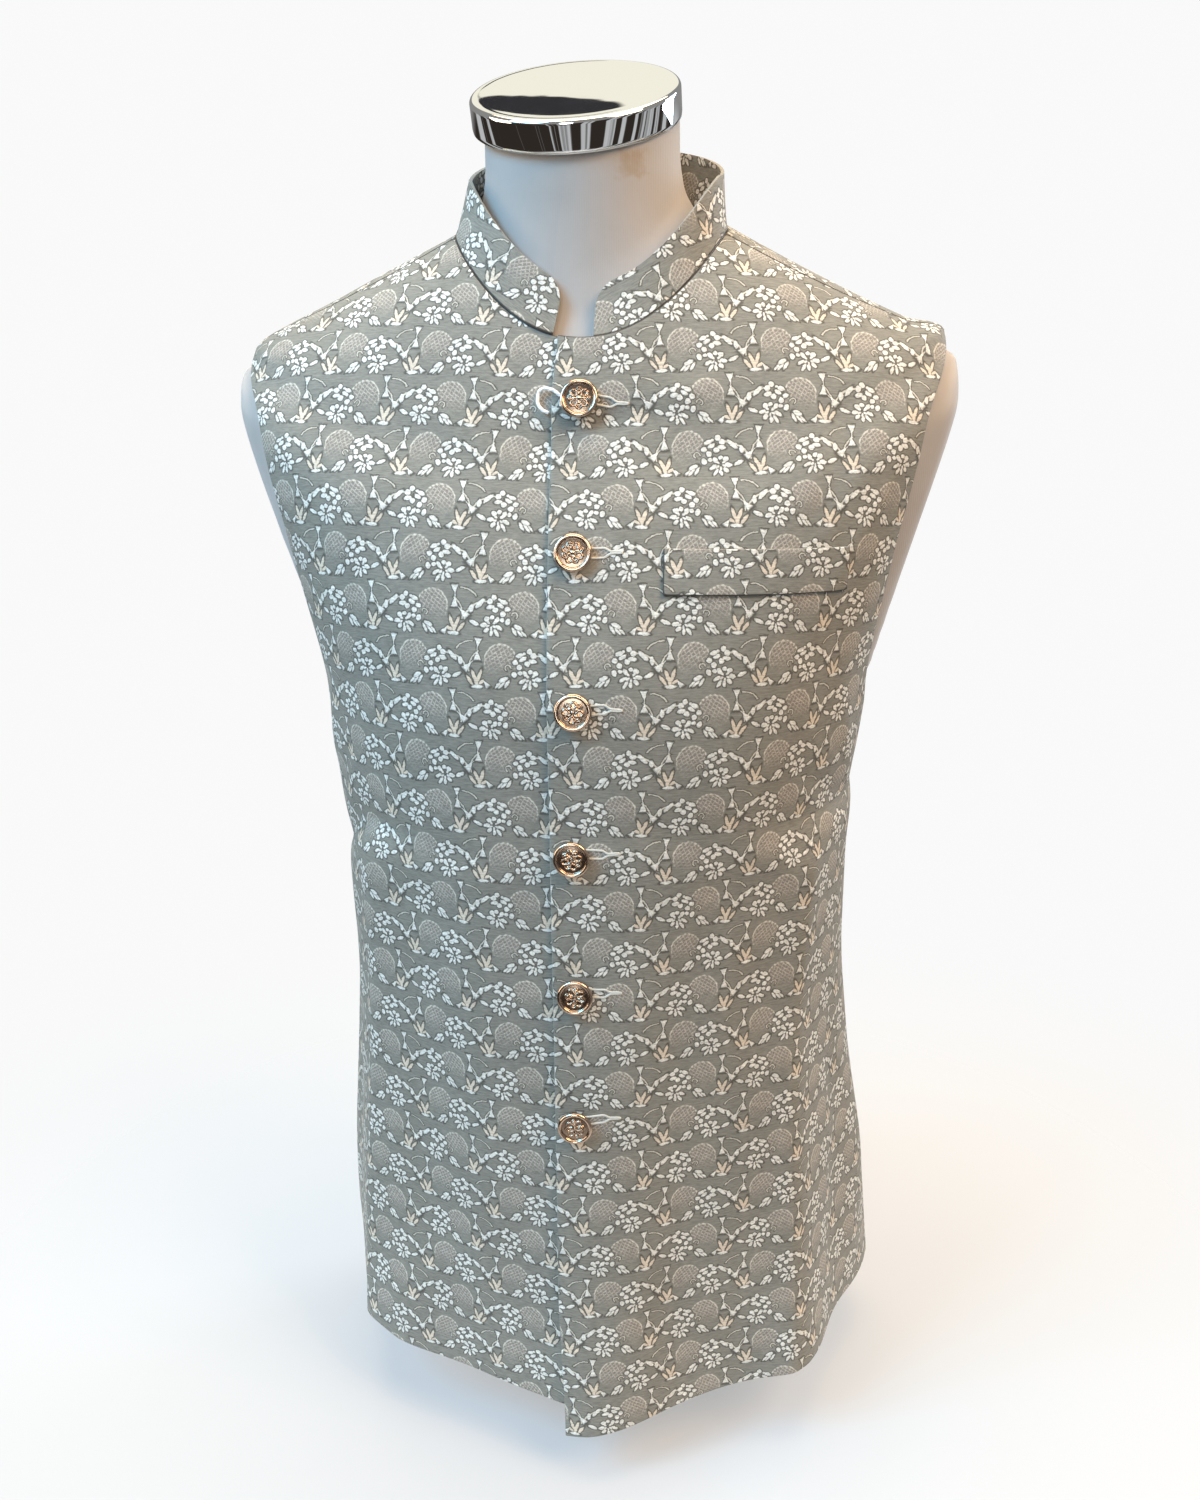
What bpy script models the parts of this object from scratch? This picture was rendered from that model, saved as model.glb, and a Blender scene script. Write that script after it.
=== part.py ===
"""Sleeveless nehru jacket on a limbless dress form.

Metres, +Z up. The front faces -Y and +X is the wearer's left. The origin is the middle of the
form's flat base. Tables are in millimetres, with the jacket's heights counted from its hem.
"""

import math
from collections import namedtuple

import bpy
import numpy as np
from mathutils import Matrix

MM = 0.001

HEM_HEIGHT = 30.0          # level hem line above the surface that the form stands on
CLOTH = 2.0                # wall of the lined and fused cloth
SEAM_GAP = 0.5             # clear space left along each seam
BUTTON_LINE = -2.5         # x of the line of buttons
OVERLAP_EDGE = -15.5       # x of the wearer's left front edge, which lies on top
UNDERLAP_EDGE = 14.0       # x of the wearer's right front edge, which lies underneath
LAYER_LIFT = 1.4           # how far each front moves out, or in, where the two lie on each other
HEM_SPREAD = 1.3           # and how much further apart each hangs at the hem
SIDE_SEAM = 94.0           # angle of the side seams, from 0 at the centre front to 180 at the back

# The hem's height above its level line: at the front edge, at the folded corner and at the side.
Hem = namedtuple("Hem", "edge corner side")
TOP_FRONT_HEM = Hem(2, 27, 21)
UNDER_FRONT_HEM = Hem(21, 28, 24)
BACK_HEM = Hem(18, 18, 23)
HEM_CORNER = 135.0         # half width at the folded corners

COLLAR_WIDTH = 29.5
COLLAR_LEAN = (11.5, 5.5, -3)  # how far its top lies inside its seam at front, sides and back
COLLAR_SWAY = 2.5          # and how far its top is pushed to the wearer's left
COLLAR_GAP = 0.9           # clear space between its foot and the panels
COLLAR_CORNER = 13.0       # radius of the rounded front ends
COLLAR_ENDS = (6.2, -15.8)  # x of the two front ends

FIRST_BUTTON = 34.3        # from the neck seam, along the front
BUTTON_GAP = 84.2
BUTTON_SIDES = (2.3, 0.9, 1.6, -0.4, 0.2, -0.9)  # how far each was sewn off the line
BUTTON_RADIUS = 10.3
BUTTON_STAND = 2.6         # underside of a button above the cloth

WELT_LEFT = 46.0
WELT_RIGHT = 144.5
WELT_BOTTOM = 535.0
WELT_TOP = 559.0
WELT_RISE = -2.0           # how much higher its outer end lies
WELT_THICK = 1.6
WELT_GAP = 0.6             # between the welt and the front behind it

CAP_RADIUS = 58.8
CAP_THICK = 17.5
CAP_EDGE = 2.5
CAP_TILT = 22.0            # degrees forward
CAP_LEAN = 2.0             # degrees towards the wearer's right
CAP_TOP = (-8.5, 1.0, 826.0)

LOOP_THICK = 1.9

# Jacket, from the hem (row 0) to the neck seam (row 8): heights at front, side and back; half width;
# depth to the front; where the widest points lie; depth to the back; roundness (2 is an ellipse, more
# is squarer); shift to the wearer's left; how far its front faces and its sides lie inside the curve;
# how the height runs from the side to the back (2 is level at the side, 1 is straight).
Section = namedtuple("Section",
                     "name row front_z side_z back_z width front side_y back square shift flat slab run")
JACKET = (
    Section("hem", 0, 0, 0, 0, 187, 141, 30, 121, 2.1, 4, 15, 15, 2),
    Section("skirt", 1, 110, 110, 110, 181, 133.5, 22, 118, 2.0, 1, 7, 9, 2),
    Section("hip", 2, 220, 220, 220, 168, 128.5, 9, 116, 2.0, -1.5, 2, 3, 2),
    Section("waist", 3, 300, 300, 300, 162, 127, 5, 111, 2.05, -2, 0, 0, 2),
    Section("ribs", 4, 380, 380, 380, 162, 126, 2, 112, 2.15, -2, 0, 0, 2),
    Section("chest", 5, 465, 465, 465, 166, 125, 0, 117, 2.25, 0, 0, 0, 2),
    Section("armhole", 6, 563, 629, 600, 208, 102.5, 0, 117, 2.05, 0, 0, 0, 2),
    Section("shoulder", 7, 609, 660, 660, 200, 82, 3, 101, 1.95, 0, 0, 0, 2),
    Section("slope", 7.5, 640, 689, 704, 144, 72.5, 1, 81, 2.05, 0, 0, 0, 1.5),
    Section("neck", 8, 666, 721, 740, 77, 62.5, 0, 60, 2.15, 0, 0, 0, 1.1),
)
LESS_SLAB = 0.3            # the wearer's right side is this much as flat as the left one
SHOULDER_LIFT = 7.0        # the wearer's left shoulder end stands up this much
PIT_ROW = 4.75             # row of the armholes' lowest point, in sections from the hem
TIP_ROW = 7.0              # row of the shoulder tips

# Edges of the armholes and the shoulder seams: the angle of each edge at a row.
Edge = namedtuple("Edge", "row angle")
FRONT_ARMHOLE = (Edge(4.75, 94), Edge(4.80, 88.5), Edge(4.95, 81), Edge(5.15, 74.5), Edge(5.35, 69.5),
                 Edge(5.6, 65), Edge(5.9, 63.5), Edge(6.2, 66.5), Edge(6.5, 73), Edge(6.76, 80),
                 Edge(7, 86.5))
BACK_ARMHOLE = (Edge(4.75, 94), Edge(4.80, 98.5), Edge(4.95, 103.5), Edge(5.15, 108), Edge(5.35, 111),
                Edge(5.6, 113), Edge(5.9, 113.5), Edge(6.2, 112), Edge(6.5, 107.5), Edge(6.76, 100),
                Edge(7, 86.5))
SHOULDER_SEAM = (Edge(7, 86.5), Edge(7.35, 80.5), Edge(7.7, 77), Edge(8, 79))

# Vertical folds in the skirt: the angle and height where each starts and ends, how proud, how wide.
Fold = namedtuple("Fold", "name top_angle low_angle top_z height width")
FOLDS = (
    Fold("left_front_corner", 54, 41.5, 388, 11, 25),
    Fold("right_front_corner", -50, -57, 384, 11, 25),
    Fold("left_back_corner", 133, 137, 372, 6, 34),
    Fold("right_back_corner", -134, -138, 376, 6, 34),
)
# Creases across the waist: angle of the middle and reach each way, height there, how the line
# drops towards the sides (mm for each degree), and how deep.
Crease = namedtuple("Crease", "name angle reach z drop depth")
CREASES = (
    Crease("left_waist", 66, 26, 397, 0.0, 5.0),
    Crease("right_waist", -62, 24, 392, 1.1, 5.0),
    Crease("front_waist", 8, 44, 402, 0.0, 1.3),
    Crease("back_waist", 180, 62, 388, 0.0, 2.5),
)

# Rows of the panels, in sections from the hem, closer together at the waist crease and armholes.
ROWS = (0, 0.3, 0.65, 1, 1.4, 1.8, 2.2, 2.6, 3, 3.4, 3.8, 4.03, 4.14, 4.22, 4.32, 4.5, 4.75, 4.8, 4.95,
        5.15, 5.35, 5.6, 5.9, 6.2, 6.5, 6.76, 7, 7.2, 7.4, 7.6, 7.8, 8)
FRONT_COLUMNS = 15
BACK_COLUMNS = 22
COLLAR_COLUMNS = 36

# Dress form below the waist: as the jacket, with heights from the base.
FormSection = namedtuple("FormSection", "name z width front side_y back square")
FORM = (
    FormSection("base", 0, 122, 65, 8, 84, 2.2),
    FormSection("foot", 30, 135, 79, 8, 93, 2.2),
    FormSection("seat", 80, 145, 91, 8, 97, 2.2),
    FormSection("hips", 150, 150, 99, 6, 99, 2.2),
    FormSection("belly", 250, 145, 102, 4, 94, 2.2),
)
# From the waist up it follows the jacket's rows from inside, as far in as this from its outer face.
FormRow = namedtuple("FormRow", "row inside")
FORM_ROWS = (FormRow(3.2, 18), FormRow(3.7, 16), FormRow(4.2, 15), FormRow(4.6, 13), FormRow(5, 11.5),
             FormRow(5.3, 9.5), FormRow(5.6, 8), FormRow(5.9, 6.5), FormRow(6.2, 5.2), FormRow(6.5, 4.2),
             FormRow(6.75, 3.6), FormRow(7, 3.3), FormRow(7.2, 3.3), FormRow(7.4, 3.3), FormRow(7.6, 3.3),
             FormRow(7.8, 3.4), FormRow(8, 3.6))
FORM_FRONT_ROOM = 3.0      # further in behind the two lapped fronts
STUMP_STAND = 1.5          # how far the rounded arm ends stand out of the armholes' curve
# Neck rings between the shoulders and the cap: share of the way up, how much is the cap's circle.
NeckRing = namedtuple("NeckRing", "up blend")
NECK = (NeckRing(0.18, 0.6), NeckRing(0.42, 0.9), NeckRing(0.7, 0.99), NeckRing(1, 1))
NECK_RADIUS = 54.8
NECK_ASIDE = 2.5           # its top is this far off the cap's middle

# Route of the cord loop at the top button: x, distance below the first button, height above the cloth.
Knot = namedtuple("Knot", "x drop stand")
LOOP_ROUTE = (Knot(-6.8, 0.6, 1.25), Knot(-11.0, -1.4, 1.3), Knot(-15.0, -3.2, 1.7),
              Knot(-19.0, -3.0, 0.4), Knot(-22.6, 0.6, -0.3), Knot(-23.0, 5.4, -0.35),
              Knot(-20.4, 8.8, -0.4), Knot(-16.9, 9.4, -0.4))


def slopes(rows, values):
    """Slopes of a smooth curve that never overshoots its points: each is the harmonic mean of its
    neighbours', or level at a peak."""
    step = np.diff(rows)[:, None]
    rise = np.diff(values, axis=0) / step
    result = np.zeros_like(values)
    result[0], result[-1] = rise[0], rise[-1]
    before, after = rise[:-1], rise[1:]
    same = before * after > 0
    w1, w2 = 2 * step[1:] + step[:-1], step[1:] + 2 * step[:-1]
    safe_before, safe_after = np.where(same, before, 1), np.where(same, after, 1)
    result[1:-1] = np.where(same, (w1 + w2) / (w1 / safe_before + w2 / safe_after), 0)
    return result


def smooth(rows, values, at):
    """Values of that curve at other rows."""
    rows, values, at = np.asarray(rows, float), np.asarray(values, float), np.asarray(at, float)
    if values.ndim == 1:
        return smooth(rows, values[:, None], at)[..., 0]
    slope = slopes(rows, values)
    i = np.clip(np.searchsorted(rows, at, side="right") - 1, 0, len(rows) - 2)
    step = (rows[i + 1] - rows[i])[..., None]
    u = ((at - rows[i])[..., None]) / step
    return ((2 * u**3 - 3 * u**2 + 1) * values[i] + (u**3 - 2 * u**2 + u) * step * slope[i]
            + (3 * u**2 - 2 * u**3) * values[i + 1] + (u**3 - u**2) * step * slope[i + 1])


def ramp(value, start, end):
    """0 before start, 1 after end, and a smooth step between."""
    u = np.clip((value - start) / (end - start), 0, 1)
    return u * u * (3 - 2 * u)


def ring_point(z_front, z_side, z_back, width, front, side_y, back, square, angle, run=2.0):
    """A point of a section at an angle from the centre front."""
    across, along = np.sin(angle), np.cos(angle)
    power = 2 / square
    x = width * np.sign(across) * np.abs(across) ** power
    y = side_y + np.where(along > 0, -(front + side_y), back - side_y) * np.abs(along) ** power
    share = np.abs(along) ** np.where(along > 0, 2, run)
    z = z_side + np.where(along > 0, z_front - z_side, z_back - z_side) * share
    return np.stack([x, y, z], axis=-1)


def sections_at(row):
    """The jacket's section at a row, one array for each column of its table after the row."""
    table = np.array([section[1:] for section in JACKET], float)
    return np.moveaxis(smooth(table[:, 0], table[:, 1:], row), -1, 0)


def plain_point(row, angle):
    """A point of the jacket without its folds and with a level hem, at a row and an angle."""
    row, angle = np.broadcast_arrays(np.asarray(row, float), np.asarray(angle, float))
    *ring, shift, flat, slab, run = sections_at(row)
    point = ring_point(*ring, angle, run)
    turn = np.abs(turn_from(angle, 0))
    point[..., 1] += flat * np.sin(math.pi * np.clip(turn / 46, 0, 1)) ** 1.4
    slab = slab * np.where(point[..., 0] < 0, LESS_SLAB, 1)
    slab = slab * np.sin(math.pi * np.clip((turn - 44) / 52, 0, 1)) ** 2
    point[..., 0] += shift - slab * np.sign(point[..., 0])
    point[..., 2] += SHOULDER_LIFT * ramp(point[..., 0], 176, 203) * ramp(row, 6, 7)
    return point


def outward(row, angle):
    """The unit normal of the plain jacket."""
    step = 1e-3
    along = plain_point(row, angle + step) - plain_point(row, angle - step)
    up = plain_point(np.minimum(row + step, 8), angle) - plain_point(np.maximum(row - step, 0), angle)
    normal = np.cross(along, up)
    return normal / np.linalg.norm(normal, axis=-1, keepdims=True)


def turn_from(angle, middle):
    """Degrees from a middle angle, the short way round."""
    return (np.degrees(angle) - middle + 180) % 360 - 180


def fold_height(point, angle):
    """How far the folds and creases move the cloth out at a point."""
    z = point[..., 2]
    radius = np.hypot(150 * np.cos(angle), 120 * np.sin(angle))
    total = np.zeros_like(z)
    for fold in FOLDS:
        middle = fold.low_angle + (fold.top_angle - fold.low_angle) * np.clip(z / fold.top_z, 0, 1)
        away = np.radians(turn_from(angle, middle)) * radius
        peak = np.exp(-(np.sqrt(away**2 + 16) - 4) / fold.width)
        broad = 0.6 * np.exp(-(away / (2.8 * fold.width)) ** 2)
        total += fold.height * (peak - broad) * ramp(-z, -fold.top_z - 6, -fold.top_z + 26)
    for crease in CREASES:
        turn = turn_from(angle, crease.angle)
        middle = crease.z - crease.drop * np.clip(np.abs(turn_from(angle, 0)) - 50, 0, 40)
        above = z - middle
        notch = np.where(above > 0, np.exp(-np.abs(above) / 36), np.exp(-np.abs(above) / 7))
        total -= crease.depth * notch * np.exp(-(turn / crease.reach) ** 4)
    return total


def hem_height(point, angle, hem):
    """The hem's height above its level line."""
    turn = np.abs(turn_from(angle, 0))
    share = np.clip(np.abs(point[..., 0]) / HEM_CORNER, 0, 1)
    if hem is TOP_FRONT_HEM:
        share = np.clip((point[..., 0] - OVERLAP_EDGE) / (HEM_CORNER - OVERLAP_EDGE), 0, 1)
    if hem is BACK_HEM:
        return hem.edge + (hem.side - hem.edge) * np.abs(np.sin(angle)) ** 2
    return hem.edge + (hem.corner - hem.edge) * share + (hem.side - hem.corner) * ramp(turn, 50, SIDE_SEAM)


def cloth_point(row, angle, layer=0):
    """A point on the jacket's outer face. layer is 1 on the top front, -1 on the one underneath."""
    row, angle = np.broadcast_arrays(np.asarray(row, float), np.asarray(angle, float))
    point = plain_point(row, angle)
    x = point[..., 0]
    lift = fold_height(point, angle)
    hem = BACK_HEM
    apart = LAYER_LIFT + HEM_SPREAD * np.clip(1 - row / 3, 0, 1)
    if layer > 0:
        hem = TOP_FRONT_HEM
        lift = lift + apart * (1 - ramp(x, 18, 60))
    elif layer < 0:
        hem = UNDER_FRONT_HEM
        lift = lift - apart * ramp(x, -60, -20)
    result = point + outward(row, angle) * lift[..., None]
    result[..., 2] += HEM_HEIGHT + hem_height(point, angle, hem) * np.clip(1 - row, 0, 1)
    return result


def angle_at(row, x):
    """The front angle where the jacket is x to the side of its middle."""
    columns = sections_at(row)
    width, square, x = columns[3], columns[7], x - columns[8]
    return np.sign(x) * np.arcsin((np.abs(x) / width) ** (square / 2))


def row_at(z, angle):
    """The row where the jacket is z above its hem line at an angle."""
    rows = np.linspace(1, 8, 1401)
    return np.interp(z, plain_point(rows, angle)[:, 2], rows)


def side_edge(rows, armhole):
    """Angles of a panel's outer edge: side seam, armhole, then shoulder seam."""
    pit = [Edge(row, SIDE_SEAM) for row in (0, PIT_ROW - 0.5)]
    table = [*pit, *armhole, *SHOULDER_SEAM[1:]]
    lower, upper = rows <= PIT_ROW, rows >= TIP_ROW
    arm = smooth([e.row for e in armhole], [e.angle for e in armhole], np.clip(rows, PIT_ROW, TIP_ROW))
    top = smooth([e.row for e in SHOULDER_SEAM], [e.angle for e in SHOULDER_SEAM],
                 np.clip(rows, TIP_ROW, 8))
    return np.radians(np.where(lower, table[0].angle, np.where(upper, top, arm)))


def seam_shift(rows, edge):
    """The angle that half a seam gap takes up at an edge."""
    span = np.linalg.norm(cloth_point(rows, edge + 1e-3) - cloth_point(rows, edge - 1e-3), axis=-1) / 2e-3
    return SEAM_GAP / 2 / span


def make_material(name, colour, roughness, metallic=0.0):
    material = bpy.data.materials.new(name)
    material.use_nodes = True
    shader = material.node_tree.nodes["Principled BSDF"]
    shader.inputs["Base Color"].default_value = (*colour, 1)
    shader.inputs["Roughness"].default_value = roughness
    shader.inputs["Metallic"].default_value = metallic
    material.diffuse_color = (*colour, 1)
    return material


def add_object(name, data, material, collection, smooth_above=None):
    item = bpy.data.objects.new(name, data)
    collection.objects.link(item)
    data.materials.append(material)
    if smooth_above is not None:
        data.shade_smooth()
        data.set_sharp_from_angle(angle=math.radians(smooth_above))
    return item


def wall_mesh(name, outer, inner):
    """A closed wall between two grids of points, rows going up and columns going round. Each square
    is split along the outer grid's shorter diagonal, and the rims join the two grids."""
    rows, columns = outer.shape[:2]
    index = np.arange(rows * columns).reshape(rows, columns)
    corners = [index[:-1, :-1], index[:-1, 1:], index[1:, 1:], index[1:, :-1]]
    places = [outer[:-1, :-1], outer[:-1, 1:], outer[1:, 1:], outer[1:, :-1]]
    first = np.linalg.norm(places[0] - places[2], axis=-1) <= np.linalg.norm(places[1] - places[3], axis=-1)
    faces = [np.stack([np.where(first, corners[i], corners[j]) for i, j in zip(one, other)], axis=-1)
             for one, other in (((0, 1, 2), (0, 1, 3)), ((0, 2, 3), (1, 2, 3)))]
    front = np.concatenate(faces).reshape(-1, 3)
    rim = np.concatenate([index[0, :-1], index[:-1, -1], index[-1, :0:-1], index[:0:-1, 0]])
    after = np.roll(rim, -1)
    size = rows * columns
    edges = np.concatenate([np.stack([rim, rim + size, after + size], axis=1),
                            np.stack([rim, after + size, after], axis=1)])
    mesh = bpy.data.meshes.new(name)
    points = np.concatenate([outer.reshape(-1, 3), inner.reshape(-1, 3)]) * MM
    mesh.from_pydata(points.tolist(), [], np.concatenate([front, front[:, ::-1] + size, edges]).tolist())
    mesh.update()
    return mesh


def panel(name, start, end, columns, layer, material, collection):
    """A panel between two edges, given as functions that turn rows into angles. The edges' sharper
    turns are taken up by the columns close to them."""
    rows = np.array(ROWS, float)
    share = np.linspace(0, 1, columns + 1)
    steady = [sum(edge(np.clip(rows + step, 0, 8)) for step in (-0.5, -0.25, 0, 0.25, 0.5)) / 5
              for edge in (start, end)]
    angle = steady[0][:, None] + (steady[1] - steady[0])[:, None] * share
    angle = angle + (start(rows) - steady[0])[:, None] * (1 - share) ** 4
    angle = angle + (end(rows) - steady[1])[:, None] * share ** 4
    outer = cloth_point(rows[:, None], angle, layer)
    inner = outer - outward(rows[:, None], angle) * CLOTH
    return add_object(name, wall_mesh(name, outer, inner), material, collection, 40)


def front_edge(rows, x):
    """The front edge's angles. It swings in a little at the neck and at the hem."""
    inward = 3.5 * ramp(-rows, -1.0, 0) + 2.5 * ramp(rows, 7.4, 8)
    return angle_at(rows, x + np.sign(-x) * inward)


def front_side(rows):
    """The fronts' outer edge, half a seam gap short of the seam."""
    edge = side_edge(rows, FRONT_ARMHOLE)
    return edge - seam_shift(rows, edge)


def back_side(rows):
    """The back's outer edge, half a seam gap behind the seam."""
    edge = side_edge(rows, BACK_ARMHOLE)
    return edge + seam_shift(rows, edge)


def build_panels(cloth, collection):
    panel("front_left", lambda rows: front_edge(rows, OVERLAP_EDGE), front_side, FRONT_COLUMNS, 1,
          cloth, collection)
    panel("front_right", lambda rows: -front_side(rows), lambda rows: front_edge(rows, UNDERLAP_EDGE),
          FRONT_COLUMNS, -1, cloth, collection)
    panel("back", back_side, lambda rows: 2 * math.pi - back_side(rows), BACK_COLUMNS, 0, cloth, collection)


def build_collar(cloth, collection):
    """A band that stands on the neck seam and leans in, with rounded front ends."""
    first = angle_at(np.array(8.0), np.array(COLLAR_ENDS[0]))
    last = 2 * math.pi + angle_at(np.array(8.0), np.array(COLLAR_ENDS[1]))
    share = np.linspace(0, 1, 401)
    seam = cloth_point(8, first + (last - first) * share)
    run = np.concatenate([[0], np.cumsum(np.linalg.norm(np.diff(seam, axis=0), axis=1))])
    close = np.array([0, 1.2, 3.5, 7.0, COLLAR_CORNER])
    middle = np.linspace(COLLAR_CORNER, run[-1] - COLLAR_CORNER, COLLAR_COLUMNS - 7)
    at = np.concatenate([close, middle[1:-1], run[-1] - close[::-1]])
    foot = np.stack([np.interp(at, run, seam[:, k]) for k in range(3)], axis=1)
    inside = np.minimum(at, run[-1] - at)
    cut = COLLAR_CORNER - np.sqrt(COLLAR_CORNER**2 - np.clip(COLLAR_CORNER - inside, 0, COLLAR_CORNER) ** 2)
    toward = -foot[:, :2] / np.linalg.norm(foot[:, :2], axis=1)[:, None]
    lean = np.interp(-toward[:, 1], (-1, 0, 1), COLLAR_LEAN)
    full = np.sqrt(COLLAR_WIDTH**2 - lean**2)
    levels = np.array([0, 0.3, 0.65, 1])[:, None] * (1 - cut / COLLAR_WIDTH)
    rise = levels * full
    lean = lean * levels ** 0.8
    points = np.repeat(foot[None], len(levels), axis=0)
    points[..., :2] += toward * lean[..., None]
    points[..., 0] += COLLAR_SWAY * levels
    points[..., 2] += rise + COLLAR_GAP
    normal = np.cross(np.gradient(points, axis=1), np.gradient(points, axis=0))
    normal /= np.linalg.norm(normal, axis=-1, keepdims=True)
    add_object("collar", wall_mesh("collar", points, points - normal * CLOTH), cloth, collection, 40)


def build_welt(cloth, collection):
    """The breast pocket's welt: the front's own points, moved out."""
    across = np.linspace(WELT_LEFT, WELT_RIGHT, 9)
    up = np.array([0.0, 0.5, 1.0])
    outer, inner = [], []
    for share in up:
        z = WELT_BOTTOM + (WELT_TOP - WELT_BOTTOM) * share
        z = z + WELT_RISE * (across - WELT_LEFT) / (WELT_RIGHT - WELT_LEFT)
        row, angle = np.full(across.shape, 5.6), np.zeros(across.shape)
        for _ in range(4):
            angle = angle_at(row, across)
            row = np.array([row_at(height, turn) for height, turn in zip(z, angle)])
        inner.append(cloth_point(row, angle, 1) + outward(row, angle) * WELT_GAP)
        outer.append(inner[-1] + outward(row, angle) * WELT_THICK)
    mesh = wall_mesh("welt_pocket", np.array(outer), np.array(inner))
    add_object("welt_pocket", mesh, cloth, collection, 40)


def front_line(x):
    """Points down the middle of the top front, with the run along it from the neck seam."""
    rows = np.linspace(8, 0, 801)
    line = cloth_point(rows, angle_at(rows, np.full(rows.shape, x)), 1)
    return line, np.concatenate([[0], np.cumsum(np.linalg.norm(np.diff(line, axis=0), axis=1))])


def frame_on_front(x, run):
    """A place on the top front, with its normal and the direction down the cloth."""
    line, length = front_line(x)
    place = np.array([np.interp(run, length, line[:, k]) for k in range(3)])
    below = np.array([np.interp(run + 4, length, line[:, k]) for k in range(3)])
    down = (below - place) / np.linalg.norm(below - place)
    normal = np.cross(down, [1.0, 0, 0])
    return place, normal / np.linalg.norm(normal), down


def turned_mesh(name, profile):
    """A closed turned shape: a profile from the axis, round the outside and back to the axis."""
    mesh = bpy.data.meshes.new(name)
    points = [(x * MM, 0, z * MM) for x, z in profile]
    mesh.from_pydata(points, [(i, i + 1) for i in range(len(points) - 1)], [])
    return mesh


def add_turn(item, steps):
    screw = item.modifiers.new("turn", "SCREW")
    screw.steps = screw.render_steps = steps
    screw.use_merge_vertices = True
    screw.merge_threshold = 1e-5


def build_buttons(metal, collection):
    """Domed shank buttons with a raised rim, down the middle of the top front."""
    r = BUTTON_RADIUS
    profile = ((0, 1.9), (r - 2.4, 1.9), (r - 1.9, 2.6), (r - 0.7, 2.6), (r, 1.8), (r - 0.6, 0.4),
               (3.0, -0.6), (2.2, -BUTTON_STAND + 0.4), (0, -BUTTON_STAND + 0.4))
    for number, aside in enumerate(BUTTON_SIDES):
        place, normal, down = frame_on_front(BUTTON_LINE + aside, FIRST_BUTTON + BUTTON_GAP * number)
        name = f"button_{number + 1}"
        item = add_object(name, turned_mesh(name, profile), metal, collection, 40)
        add_turn(item, 20)
        item.location = (place + normal * BUTTON_STAND) * MM
        item.rotation_euler = (math.atan2(-normal[1], normal[2]), 0, 0)


def cap_axes():
    """Directions across the cap, towards its back, and out of its top."""
    turn = Matrix.Rotation(math.radians(-CAP_LEAN), 3, "Y")
    turn = turn @ Matrix.Rotation(math.radians(CAP_TILT), 3, "X")
    return [np.array(turn.col[k]) for k in range(3)], turn


def armhole_window(row, angle):
    """1 well inside an armhole and 0 at its edge and beyond."""
    turn = np.abs(turn_from(angle, 0))
    edges = [np.degrees(side_edge(row, table)) for table in (FRONT_ARMHOLE, BACK_ARMHOLE)]
    inside = ramp(turn, edges[0] + 4, edges[0] + 14) * ramp(-turn, 6 - edges[1], 15 - edges[1])
    return inside * ramp(-row, -6.9, -6.5)


def build_form(fabric, collection):
    """The torso, neck and rounded arm ends in one closed skin, flat at the base and at the neck's top."""
    side = np.linspace(60, 120, 13)
    turns = np.concatenate([np.arange(-60, 60, 10), side[:-1], np.arange(120, 240, 10), side[:-1] + 180])
    angle = np.radians(turns)
    levels = np.linspace(0, len(FORM) - 1, 2 * len(FORM) - 1)
    values = np.moveaxis(smooth(np.arange(len(FORM)), [section[1:] for section in FORM], levels), -1, 0)
    lower = ring_point(values[0][:, None], values[0][:, None], values[0][:, None],
                       *(column[:, None] for column in values[1:]), angle)
    row = np.array([entry.row for entry in FORM_ROWS])[:, None]
    inside = np.array([entry.inside for entry in FORM_ROWS])[:, None]
    inside = inside + FORM_FRONT_ROOM * np.exp(-(turn_from(angle, 0) / 28) ** 2)
    inside = inside - (inside + STUMP_STAND) * armhole_window(row, angle)
    upper = plain_point(row, angle) - outward(row, angle) * inside[..., None]
    upper[..., 2] += HEM_HEIGHT
    (across, back, stand), _ = cap_axes()
    middle = np.array(CAP_TOP) - stand * (CAP_THICK + 0.4) + across * NECK_ASIDE
    top = middle + NECK_RADIUS * (across * np.sin(angle)[:, None] - back * np.cos(angle)[:, None])
    foot = upper[-1]
    neck = []
    for ring in NECK:
        place = foot + (top - foot) * ring.up
        outline = foot[:, :2] + (top - foot)[:, :2] * ring.blend
        neck.append(np.column_stack([outline, place[:, 2]]))
    points = np.concatenate([lower, upper, neck])
    count, wide = points.shape[:2]
    index = np.arange(count * wide).reshape(count, wide)
    after = np.roll(index, -1, axis=1)
    faces = np.stack([index[:-1], after[:-1], after[1:], index[1:]], axis=-1).reshape(-1, 4).tolist()
    faces += [index[0][::-1].tolist(), index[-1].tolist()]
    mesh = bpy.data.meshes.new("dress_form")
    mesh.from_pydata((points.reshape(-1, 3) * MM).tolist(), [], faces)
    mesh.update()
    add_object("dress_form", mesh, fabric, collection, 50)


def build_cap(metal, collection):
    """The neck cap: a turned disc with rounded edges, tilted forward."""
    r, edge = CAP_RADIUS, CAP_EDGE
    corner = [math.radians(a) for a in (90, 45, 0)]
    profile = [(0, 0)]
    profile += [(r - edge + edge * math.cos(a), -edge + edge * math.sin(a)) for a in corner]
    profile += [(r, -CAP_THICK + edge), (r - 1.0, -CAP_THICK), (0, -CAP_THICK)]
    item = add_object("neck_cap", turned_mesh("neck_cap", profile), metal, collection, 40)
    add_turn(item, 48)
    item.location = [value * MM for value in CAP_TOP]
    item.rotation_euler = cap_axes()[1].to_euler()


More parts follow.
